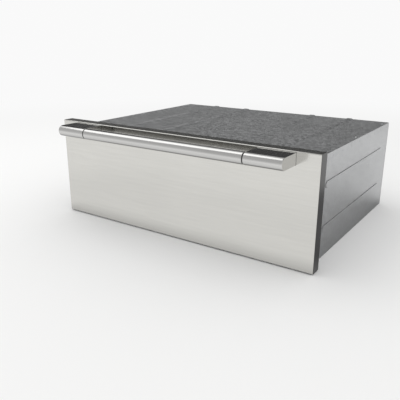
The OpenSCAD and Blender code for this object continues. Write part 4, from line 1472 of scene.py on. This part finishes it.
@dataclass
class HeatedCavity:
    """Steel cavity with its element, fan and probe."""

    def dress(self) -> None:
        """Gives the cavity's CAD nodes their finishes."""
        dress(CAVITY_STEEL, "liner_floor", "liner_side_left", "liner_side_right", "liner_top", "liner_back",
              "fan_baffle", "fan_wheel", "element_clips")
        dress(ELEMENT, "heating_element")
        dress(MOTOR_STEEL, "fan_motor")
        dress(CONTROL_BLACK, "thermal_cutout")
        dress(PROBE_COPPER, "sensor_probe")


@dataclass
class ControlPanel:
    """Recessed fascia with knob, rocker, lamp and vent shutter, and the marks on it."""

    knob: Span = around("thermostat_knob")
    fascia: Span = around("control_fascia")
    tick_low: float = 13.3 * MM
    tick_high: float = 14.6 * MM
    line: float = 0.32 * MM
    print_height: float = 0.05 * MM
    numeral_radius: float = 14.2 * MM
    numeral_size: float = 2.5 * MM
    steps: int = 5
    sweep: tuple[float, float] = (90.0, -180.0)
    rocker_turn: float = math.radians(8.0)
    mark_offset: float = 4.65 * MM
    mark_reach: float = 1.35 * MM
    mark_depth: tuple[float, float] = (-5.96 * MM, -5.72 * MM)
    bar_half: float = 0.24 * MM
    ring_bore: float = 0.66
    ring_sides: int = 28
    pointer_half: float = 0.42 * MM
    pointer_reach: tuple[float, float] = (3.2 * MM, 8.6 * MM)
    pointer_lift: float = 0.02 * MM

    @property
    def face(self) -> float:
        """Returns the plane of the fascia's front."""
        return self.fascia.high.y - SHEET

    @property
    def dial(self) -> Vector:
        """Returns the dial's centre, at the height of the print."""
        return Vector((self.knob.middle.x, self.face - self.print_height, self.knob.middle.z))

    def dress(self) -> None:
        """Gives the controls' CAD nodes their finishes."""
        dress(PANEL_STEEL, "control_fascia")
        dress(SHUTTER_STEEL, "vent_shutter")
        dress(KNOB_BLACK, "thermostat_knob")
        dress(CONTROL_BLACK, "power_rocker", "switch_body")
        dress(PILOT_AMBER, "pilot_lens")
        dress(THERMOSTAT_STEEL, "thermostat_body")

    def _out(self, step: float) -> Vector:
        """Returns the direction from the dial's centre to a step of its scale."""
        a = math.radians(self.sweep[0] + (self.sweep[1] - self.sweep[0]) * step / self.steps)
        return Vector((math.cos(a), 0, math.sin(a)))

    def build_ticks(self) -> Piece:
        """Prints a short mark half way between each two numbers round the knob.

        Returns:
            The marks, as one piece.
        """
        bm = bmesh.new()
        for i in range(self.steps):
            out = self._out(i + 0.5)
            across = Vector((-out.z, 0, out.x)) * self.line / 2
            start, end = self.dial + out * self.tick_low, self.dial + out * self.tick_high
            cap_ring(bm, (start - across, end - across, end + across, start + across))
        return finished("dial_marks", bm, DIAL_INK, "control_black", "casing")

    def build_numerals(self) -> Piece:
        """Prints the plain numbers from 0 up at the main marks.

        Returns:
            The numbers, as one piece.
        """
        bm = bmesh.new()
        for i in range(self.steps + 1):
            curve = bpy.data.curves.new("numeral", "FONT")
            curve.body, curve.size = str(i), self.numeral_size
            curve.align_x, curve.align_y = "CENTER", "CENTER"
            holder = placed("numeral", curve)
            graph = bpy.context.evaluated_depsgraph_get()
            flat = bpy.data.meshes.new_from_object(holder.evaluated_get(graph))
            spot = self.dial + self._out(i) * self.numeral_radius
            flat.transform(Matrix.Translation(spot) @ Matrix.Rotation(math.pi / 2, 4, "X"))
            bm.from_mesh(flat)
            bpy.data.objects.remove(holder)
            bpy.data.curves.remove(curve)
            bpy.data.meshes.remove(flat)
        return finished("dial_numbers", bm, DIAL_INK, "control_black", "casing")

    def build_rocker_marks(self) -> Piece:
        """Moulds the bar and the ring that tell on from off on the rocker.

        Returns:
            The marks, which lean with the rocker.
        """
        bm = bmesh.new()
        low, high = self.mark_depth
        half, reach = self.bar_half, self.mark_reach
        bar = [(-half, -reach), (half, -reach), (half, reach), (-half, reach)]
        bars = [[Vector((x, y, z + self.mark_offset)) for x, z in bar] for y in (high, low)]
        skin_rings(bm, bars)
        cap_ring(bm, bars[1])
        angles = [2 * math.pi * i / self.ring_sides for i in range(self.ring_sides)]
        walls = ((1.0, high), (1.0, low), (self.ring_bore, low), (self.ring_bore, high))
        skin_rings(bm, [
            [Vector((reach * r * math.cos(a), y, reach * r * math.sin(a) - self.mark_offset)) for a in angles]
            for r, y in walls
        ])
        lean = Matrix.Translation(joint_point("rocker_tilt")) @ Matrix.Rotation(self.rocker_turn, 4, "X")
        bmesh.ops.transform(bm, matrix=lean, verts=bm.verts)
        return finished("rocker_marks", bm, MARK_WHITE, "control_black", "rocker")

    def build_pointer(self) -> Piece:
        """Paints the line on the knob's top ridge.

        Returns:
            The line, which turns with the knob.
        """
        bm = bmesh.new()
        top = self.knob.low.y - self.pointer_lift
        half, (near, far) = self.pointer_half, self.pointer_reach
        x, z = self.knob.middle.x, self.knob.middle.z
        corners = ((-half, near), (half, near), (half, far), (-half, far))
        cap_ring(bm, (Vector((x + dx, top, z + dz)) for dx, dz in corners))
        return finished("knob_pointer", bm, MARK_WHITE, "knob_black", "knob")


@dataclass
class Supply:
    """Terminal box on the back, with its gland and wires."""

    box: Span = around("terminal_cover")
    screw_spread: float = 22.0 * MM

    def dress(self) -> None:
        """Gives the supply's CAD nodes their finishes."""
        dress(CASING_ZINC, "terminal_cover")
        dress(TERMINAL_IVORY, "terminal_block")
        dress(CONTROL_BLACK, "cable_gland")
        dress(LOOM, "wiring_loom")

    def build_screw_heads(self) -> Piece:
        """Sets two heads on top of the cover, where it is held.

        Returns:
            The heads, as one piece.
        """
        seats = Seats()
        for side in Side:
            x = self.box.middle.x + side.value * self.screw_spread
            seats.add((x, self.box.middle.y, self.box.high.z), (0, 0, 1))
        shape = FIXINGS.pan_head()
        return set_copies("supply_screw_heads", shape, seats, SCREW_ZINC, "screw_zinc", "casing")


@dataclass
class Slides:
    """Ball-bearing slides on both sides."""

    def dress(self) -> None:
        """Gives the slides' CAD nodes their finishes."""
        for side in Side:
            dress(SLIDE_ZINC, *(f"slide_{member}_{side.word}" for member in ("outer", "middle", "inner")))
            dress(CAGE_ZINC, f"cage_outer_{side.word}", f"cage_inner_{side.word}")
            dress(BALL_STEEL, f"balls_outer_{side.word}", f"balls_inner_{side.word}")


@dataclass
class Front:
    """Folded steel front with its inner panel, seal, buffers and welds."""

    seal: Span = around("drawer_gasket")
    panel: Span = around("front_inner_panel")
    seal_bulb: float = 1.9 * MM
    seal_foot: float = 7.6 * MM
    seal_corner: float = 10.0 * MM
    weld_radius: float = 2.0 * MM
    weld_inset: float = 6.0 * MM
    weld_pitch: float = 60.0 * MM
    weld_margin: float = 30.0 * MM

    def dress(self) -> None:
        """Gives the front's CAD nodes their finishes."""
        dress(FRONT_STEEL, "front_skin")
        dress(PANEL_STEEL, "front_inner_panel")
        dress(WOOL, "front_insulation")
        dress(BUMPER_RUBBER, "front_bumpers")

    def build_seal(self) -> Piece:
        """Runs the bulb seal round the inner panel.

        Returns:
            The seal, which stands for the CAD node.
        """
        half = self.seal.half
        values = {
            "Width": 2 * half.x - self.seal_foot, "Height": 2 * half.z - self.seal_foot,
            "Corner": self.seal_corner, "Bulb": self.seal_bulb, "Foot": self.seal_foot,
            "Centre": (0.0, self.seal.low.y, self.seal.middle.z), "Finish": SEAL_SILICONE.material(),
        }
        seed = bpy.data.meshes.new("seal")
        made = grown("bulb_seal", seed, GROWERS.seal, values, "seal_silicone", "drawer")
        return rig.replaces(made, "drawer_gasket")

    def build_welds(self) -> Piece:
        """Sets spot-weld marks along the top and bottom edges of the inner panel.

        Returns:
            The marks, as one piece.
        """
        seats = Seats()
        count = int(2 * (self.panel.half.x - self.weld_margin) / self.weld_pitch)
        for i in range(count + 1):
            x = (i - count / 2) * self.weld_pitch
            for z in (self.panel.low.z + self.weld_inset, self.panel.high.z - self.weld_inset):
                seats.add((x, self.panel.high.y, z), (0, 1, 0))
        shape = FIXINGS.weld_mark(self.weld_radius)
        return set_copies("front_welds", shape, seats, PANEL_STEEL, "cavity_steel", "drawer")


@dataclass
class Handle:
    """Round bar between two end blocks with dark collars, and a thin dark plate under each block as a painted shadow
    line.
    """

    # Thin dark plate under each block: a painted shadow line where the block meets the panel.
    seat_height: float = 0.7 * MM
    seat_edge: float = 0.12 * MM

    def dress(self) -> None:
        """Gives the handle's CAD nodes their finishes."""
        dress(HANDLE_STEEL, "handle_bar", *(f"handle_block_{side.word}" for side in Side))
        dress(COLLAR_BLACK, "handle_collars")
        dress(SCREW_ZINC, "handle_screws")

    def build_seats(self) -> Piece:
        """Makes a thin dark plate under each block, whose edge shows as a painted shadow line on the panel.

        Returns:
            Both plates, as one piece.
        """
        bm = bmesh.new()
        for side in Side:
            block = Span.of(f"handle_block_{side.word}")
            half_x, half_z = block.half.x + self.seat_edge, block.half.z + self.seat_edge
            corners = [(-half_x, -half_z), (half_x, -half_z), (half_x, half_z), (-half_x, half_z)]
            rings = [[Vector((block.middle.x + x, y, block.middle.z + z)) for x, z in corners]
                     for y in (block.high.y, block.high.y - self.seat_height)]
            skin_rings(bm, rings)
            cap_ring(bm, rings[0])
            cap_ring(bm, rings[1])
        return finished("handle_seats", bm, COLLAR_BLACK, "collar_black", "drawer")


@dataclass
class Tub:
    """Deep-drawn tub with its ribbed mat, side rails and their screws."""

    shell: Span = around("drawer_tub")
    mat: Span = around("tub_mat")
    rail: Span = around("drawer_rail_right")
    slide: Span = around("slide_inner_right")
    rim: float = 15.0 * MM
    rim_front: float = 12.0 * MM
    rim_corner: float = 10.0 * MM
    draft: float = 5.0 * MM
    corner: float = 40.0 * MM
    least_corner: float = 1.0 * MM
    corner_steps: int = 10
    base: float = 20.0 * MM
    base_steps: int = 8
    lead_in: float = 4.0 * MM
    lead_steps: int = 5
    crease: float = 40.0
    mat_sheet: float = 1.5 * MM
    mat_corner: float = 16.0 * MM
    mat_edge: Profile = ((0.0, 0.0), (0.0, 0.6), (0.2, 0.85), (0.5, 1.0))
    rib_pitch: float = 6.0 * MM
    rib_radius: float = 1.35 * MM
    rib_sink: float = 0.15 * MM
    rib_margins: tuple[float, float] = (16.0 * MM, 24.0 * MM)
    tab_heights: tuple[float, ...] = (112.0 * MM, 156.0 * MM)
    tab_x: float = 299.3 * MM

    def _ring(self, out: float, radius: float, height: float) -> list[Vector]:
        """Makes a ring of the tub.

        Args:
            out: how far it lies out beyond the outer wall.
            radius: radius of its corners.
            height: its height in the model.

        Returns:
            Its points.
        """
        half_x, half_y = self.shell.half.x - self.rim, self.shell.half.y - self.rim_front
        loop = rounded_loop(half_x + out, half_y + out, max(radius, self.least_corner), self.corner_steps)
        return [Vector((x, y + self.shell.middle.y, height)) for x, y in loop]

    def _wall(self, inward: float) -> list[list[Vector]]:
        """Makes the rings of one face of the sheet, from the rim down to the floor.

        Args:
            inward: how far this face lies inside the outer one.

        Returns:
            Rings from top to bottom.
        """
        rings = []
        turn = self.lead_in + (SHEET - inward)
        top = self.shell.high.z - (SHEET - inward)
        for i in range(self.lead_steps + 1):
            a = math.radians(90 * i / self.lead_steps)
            out = -inward + turn * (1 - math.sin(a))
            rings.append(self._ring(out, self.corner + out, top - turn * (1 - math.cos(a))))
        low = self.base - inward
        for i in range(self.base_steps + 1):
            a = math.radians(90 * i / self.base_steps)
            out = -inward - self.draft - low * (1 - math.cos(a))
            height = self.shell.low.z + inward + low * (1 - math.sin(a))
            rings.append(self._ring(out, self.corner + out, height))
        return rings

    def build_shell(self) -> Piece:
        """Makes the drawn shell with its flat rim and rounded lead-in.

        Returns:
            The shell, which stands for the CAD node.
        """
        bm = bmesh.new()
        inner, outer = self._wall(SHEET), self._wall(0.0)
        for rings in (inner, outer):
            skin_rings(bm, rings)
            cap_ring(bm, rings[-1])
        edge = rounded_loop(self.shell.half.x, self.shell.half.y, self.rim_corner, self.corner_steps)
        top, middle = self.shell.high.z, self.shell.middle.y
        rim = [[Vector((x, y + middle, z)) for x, y in edge] for z in (top, top - SHEET)]
        skin_rings(bm, rim)
        skin_rings(bm, [rim[0], inner[0]])
        skin_rings(bm, [rim[1], outer[0]])
        made = finished("drawn_tub", bm, TUB_STEEL, "tub_steel", "drawer", self.crease)
        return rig.replaces(made, "drawer_tub")

    def build_mat(self) -> Piece:
        """Makes the mat's sheet with a soft edge.

        Returns:
            The sheet, which stands for the CAD node together with its ribs.
        """
        bm = bmesh.new()
        rings = []
        for inset, height in self.mat_edge:
            half_x, half_y = self.mat.half.x - inset * MM, self.mat.half.y - inset * MM
            loop = rounded_loop(half_x, half_y, self.mat_corner)
            z = self.mat.low.z + height * self.mat_sheet
            rings.append([Vector((x, y + self.mat.middle.y, z)) for x, y in loop])
        skin_rings(bm, rings)
        cap_ring(bm, rings[0])
        cap_ring(bm, rings[-1])
        made = finished("mat_sheet", bm, MAT_RUBBER, "mat_rubber", "drawer")
        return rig.replaces(made, "tub_mat")

    def build_ribs(self) -> Piece:
        """Lays the mat's half-round ribs.

        Returns:
            The ribs, as one piece.
        """
        ends, edges = self.rib_margins
        level = self.mat.low.z + self.mat_sheet - self.rib_sink
        values = {
            "Length": 2 * self.mat.half.x - ends, "Pitch": self.rib_pitch, "Radius": self.rib_radius,
            "Count": int((2 * self.mat.half.y - edges) / self.rib_pitch),
            "Centre": (0.0, self.mat.middle.y, level), "Finish": MAT_RUBBER.material(),
        }
        seed = bpy.data.meshes.new("ribs")
        return grown("mat_ribs", seed, GROWERS.ribs, values, "mat_rubber", "drawer")

    def build_rail_heads(self) -> Piece:
        """Sets cross-recessed heads on the screws of the rails.

        Returns:
            The heads, as one piece.
        """
        seats = Seats()
        wall, tab = self.rail.high.x - SHEET - PROUD, self.rail.low.y + SHEET + PROUD
        for side in Side:
            for y in SLIDE_HOLES:
                point = (side.value * wall, self.slide.low.y + y, self.slide.middle.z)
                seats.add(point, (-side.value, 0, 0))
            for z in self.tab_heights:
                seats.add((side.value * self.tab_x, tab, z), (0, 1, 0))
        shape = FIXINGS.pan_head()
        return set_copies("rail_screw_heads", shape, seats, SCREW_ZINC, "screw_zinc", "drawer")

    def dress(self) -> None:
        """Gives the rails and their screws a finish."""
        dress(RAIL_STEEL, "drawer_rail_left", "drawer_rail_right")
        dress(SCREW_ZINC, "drawer_screws")


# --- Studio -------------------------------------------------------------------


@dataclass
class Studio:
    """Pale floor, one soft lamp in a white room, and the photograph's camera."""

    eye: Vector = field(default_factory=lambda: Vector((0.73077, -1.21262, 0.49693)))
    yaw: float = math.radians(-34.449)
    pitch: float = math.radians(-18.353)
    roll: float = math.radians(0.0575)
    focal_px: float = 501.5
    frame_px: float = 400.0
    sensor_mm: float = 36.0
    clip: tuple[float, float] = (0.01, 100.0)
    white: float = 0.95
    room_light: float = 0.97
    floor_tone: Rgb = (0.89, 0.89, 0.885)
    reach: float = 12.0
    fade: tuple[float, float] = (1.2, 2.8)
    lamp_at: Point = (-1.2, -0.38, 2.0)
    lamp_size: tuple[float, float] = (1.35, 1.5)
    lamp_aim: Point = (0.0, -0.25, 0.2)
    lamp_watts: float = 6.8
    flag: float = 0.055
    flag_low: tuple[float, float] = (0.05, 0.14)
    flag_high: tuple[float, float] = (0.52, 0.66)
    flag_turn: tuple[float, float] = (0.0, 0.35)
    # Painted shade on the floor beside the casing, seen only in reflections.
    side_shade: float = 0.6
    side_reach: tuple[float, float] = (0.15, 0.34)
    side_front: tuple[float, float] = (-0.30, -0.15)
    side_back: tuple[float, float] = (-0.05, 0.1)
    # Floor brightness in reflections by distance from the object, darkest right beside it: a painted shadow.
    ground: Profile = (
        (0.0, 0.62), (0.010, 0.74), (0.024, 0.90), (0.10, 0.89),
        (0.18, 0.97), (0.35, 0.99), (0.8, 0.84), (1.0, 0.80),
    )
    ground_inset: float = 0.06
    ground_reach: float = 3.0
    air: Profile = ((0.0, 0.78), (0.12, 0.68), (0.25, 0.59), (0.75, 0.55), (1.0, 0.50))

    def build_camera(self) -> Piece:
        """Places the camera.

        Returns:
            The camera.
        """
        data = bpy.data.cameras.new("photo_camera")
        data.sensor_width = self.sensor_mm
        data.lens = self.focal_px * self.sensor_mm / self.frame_px
        data.clip_start, data.clip_end = self.clip
        made = placed("photo_camera", data)
        flat = math.cos(self.pitch)
        ahead = Vector((math.sin(self.yaw) * flat, math.cos(self.yaw) * flat, math.sin(self.pitch)))
        turn = ahead.to_track_quat("-Z", "Y").to_matrix() @ Matrix.Rotation(self.roll, 3, "Z")
        made.matrix_world = Matrix.Translation(self.eye) @ turn.to_4x4()
        bpy.context.scene.camera = made
        return made

    def build_floor(self) -> Piece:
        """Lays the floor: matt, with a painted shadow near the object and beside the casing that only glossy rays see,
        and lost in white far away.

        Returns:
            The floor.
        """
        mesh = bpy.data.meshes.new("studio_floor")
        r = self.reach
        mesh.from_pydata([(-r, -r, 0), (r, -r, 0), (r, r, 0), (-r, r, 0)], [], [(0, 1, 2, 3)])
        made = placed("studio_floor", mesh)
        paint = bpy.data.materials.new("studio_floor")
        wire = Wiring(emptied(paint))
        where = wire.add("ShaderNodeTexCoord").outputs["Object"]
        spot = wire.add("ShaderNodeSeparateXYZ", {0: where})
        half = ((CAD_BOX[1] - CAD_BOX[0]) / 2).to_tuple()
        beyond = [
            wire.math("MAXIMUM", wire.math("SUBTRACT", wire.math("ABSOLUTE", spot.outputs[i]), size), 0.0)
            for i, size in ((0, half[0]), (1, half[1] - self.ground_inset))
        ]
        squares = [wire.math("POWER", side, 2.0) for side in beyond]
        gap = wire.math("SQRT", wire.math("ADD", *squares))
        close = wire.math("SUBTRACT", 1.0, wire.ease(beyond[0], *self.side_reach))
        back = wire.ease(spot.outputs[1], *(half[1] + y for y in self.side_back))
        front = wire.ease(spot.outputs[1], *self.side_front)
        along = wire.math("MULTIPLY", front, wire.math("SUBTRACT", 1.0, back))
        beside = wire.math("MULTIPLY", along, close)
        # Painted shadow: glossy rays see the floor as an emission that is darker near the object and beside the
        # casing.
        ground = wire.ramp(wire.math("DIVIDE", gap, self.ground_reach), self.ground)
        shaded = wire.blend(wire.math("MULTIPLY", beside, self.side_shade), ground, (0.0, 0.0, 0.0))
        painted_floor_reflection = wire.add("ShaderNodeEmission", {0: shaded, 1: 1.0})
        far = wire.add("ShaderNodeVectorMath", {0: where}, operation="LENGTH").outputs["Value"]
        away = wire.ease(far, *self.fade)
        matt = wire.add("ShaderNodeBsdfDiffuse", {"Color": self.floor_tone})
        haze = wire.add("ShaderNodeEmission", {0: (self.white,) * 3, 1: 1.0})
        ray = wire.add("ShaderNodeLightPath")
        lost = wire.math("MULTIPLY", away, ray.outputs["Is Camera Ray"])
        seen = wire.math("MAXIMUM", ray.outputs["Is Glossy Ray"], ray.outputs["Is Transmission Ray"])
        near = wire.add("ShaderNodeMixShader", {0: lost, 1: matt, 2: haze})
        mixed = wire.add("ShaderNodeMixShader", {0: seen, 1: near, 2: painted_floor_reflection})
        wire.add("ShaderNodeOutputMaterial", {0: mixed})
        mesh.materials.append(paint)
        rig.stage(made)
        return made

    def build_world(self) -> None:
        """Fills the room with soft light.

        Metal sees a lighter horizon, a greyer ceiling and a dark flag at the back.
        """
        world = bpy.data.worlds.new("studio_air")
        wire = Wiring(emptied(world))
        way = wire.add("ShaderNodeSeparateXYZ", {0: wire.add("ShaderNodeTexCoord").outputs["Generated"]})
        height = way.outputs[2]
        fall = wire.math("SUBTRACT", 1.0, wire.ease(height, *self.flag_high))
        band = wire.math("MULTIPLY", wire.ease(height, *self.flag_low), fall)
        dark = wire.math("MULTIPLY", wire.ease(way.outputs[1], *self.flag_turn), band)
        room = wire.blend(dark, wire.ramp(height, self.air), (self.flag,) * 3)
        soft = wire.add("ShaderNodeBackground", {0: (self.room_light,) * 3, 1: 1.0})
        shown = wire.add("ShaderNodeBackground", {0: room, 1: 1.0})
        white = wire.add("ShaderNodeBackground", {0: (self.white,) * 3, 1: 1.0})
        ray = wire.add("ShaderNodeLightPath")
        seen = wire.math("MAXIMUM", ray.outputs["Is Glossy Ray"], ray.outputs["Is Transmission Ray"])
        first = wire.add("ShaderNodeMixShader", {0: seen, 1: soft, 2: shown})
        sockets = {0: ray.outputs["Is Camera Ray"], 1: first, 2: white}
        both = wire.add("ShaderNodeMixShader", sockets)
        wire.add("ShaderNodeOutputWorld", {0: both})
        bpy.context.scene.world = world

    def build_lamp(self) -> Piece:
        """Hangs the soft lamp over the front left.

        Returns:
            The lamp.
        """
        data = bpy.data.lights.new("key_softbox", "AREA")
        data.shape = "RECTANGLE"
        data.size, data.size_y = self.lamp_size
        data.energy = self.lamp_watts
        made = placed("key_softbox", data)
        at = Vector(self.lamp_at)
        turn = (Vector(self.lamp_aim) - at).to_track_quat("-Z", "Y").to_matrix()
        made.matrix_world = Matrix.Translation(at) @ turn.to_4x4()
        return made

    def build(self) -> None:
        """Sets up the whole studio."""
        bpy.context.scene.view_settings.view_transform = "Standard"
        self.build_camera()
        self.build_floor()
        self.build_world()
        self.build_lamp()


def write_sizes(path: str, low: Vector, high: Vector) -> None:
    """Writes the CAD box and the visual model's box.

    Args:
        path: file to write.
        low: lowest corner of the visual model.
        high: highest corner of the visual model.
    """
    sizes = {"cad": [list(c) for c in CAD_BOX], "visual": [list(low), list(high)]}
    with open(path, "w") as out:
        json.dump(sizes, out)


def main() -> None:
    """Builds and dresses every sub-assembly in order."""
    logging.basicConfig(level=logging.INFO, format="%(name)s: %(message)s")
    Studio().build()
    casing, cavity, controls = Casing(), HeatedCavity(), ControlPanel()
    supply, slides, front, handle, tub = Supply(), Slides(), Front(), Handle(), Tub()
    for part in (casing, cavity, controls, supply, slides, front, handle, tub):
        part.dress()
        log.info("dressed %s", type(part).__name__)
    pieces = [
        casing.build_pan_heads(), casing.build_flat_heads(), casing.build_rivets(), casing.build_welds(),
        controls.build_ticks(), controls.build_numerals(), controls.build_rocker_marks(),
        controls.build_pointer(), supply.build_screw_heads(), front.build_seal(), front.build_welds(),
        handle.build_seats(), tub.build_shell(), tub.build_mat(), tub.build_ribs(), tub.build_rail_heads(),
    ]
    for made in pieces:
        log.info("%s: %d faces", made.name, len(made.data.polygons))
    FIXINGS.clear()
    write_sizes("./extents.json", *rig.bounds())


if __name__ == "__main__":
    main()
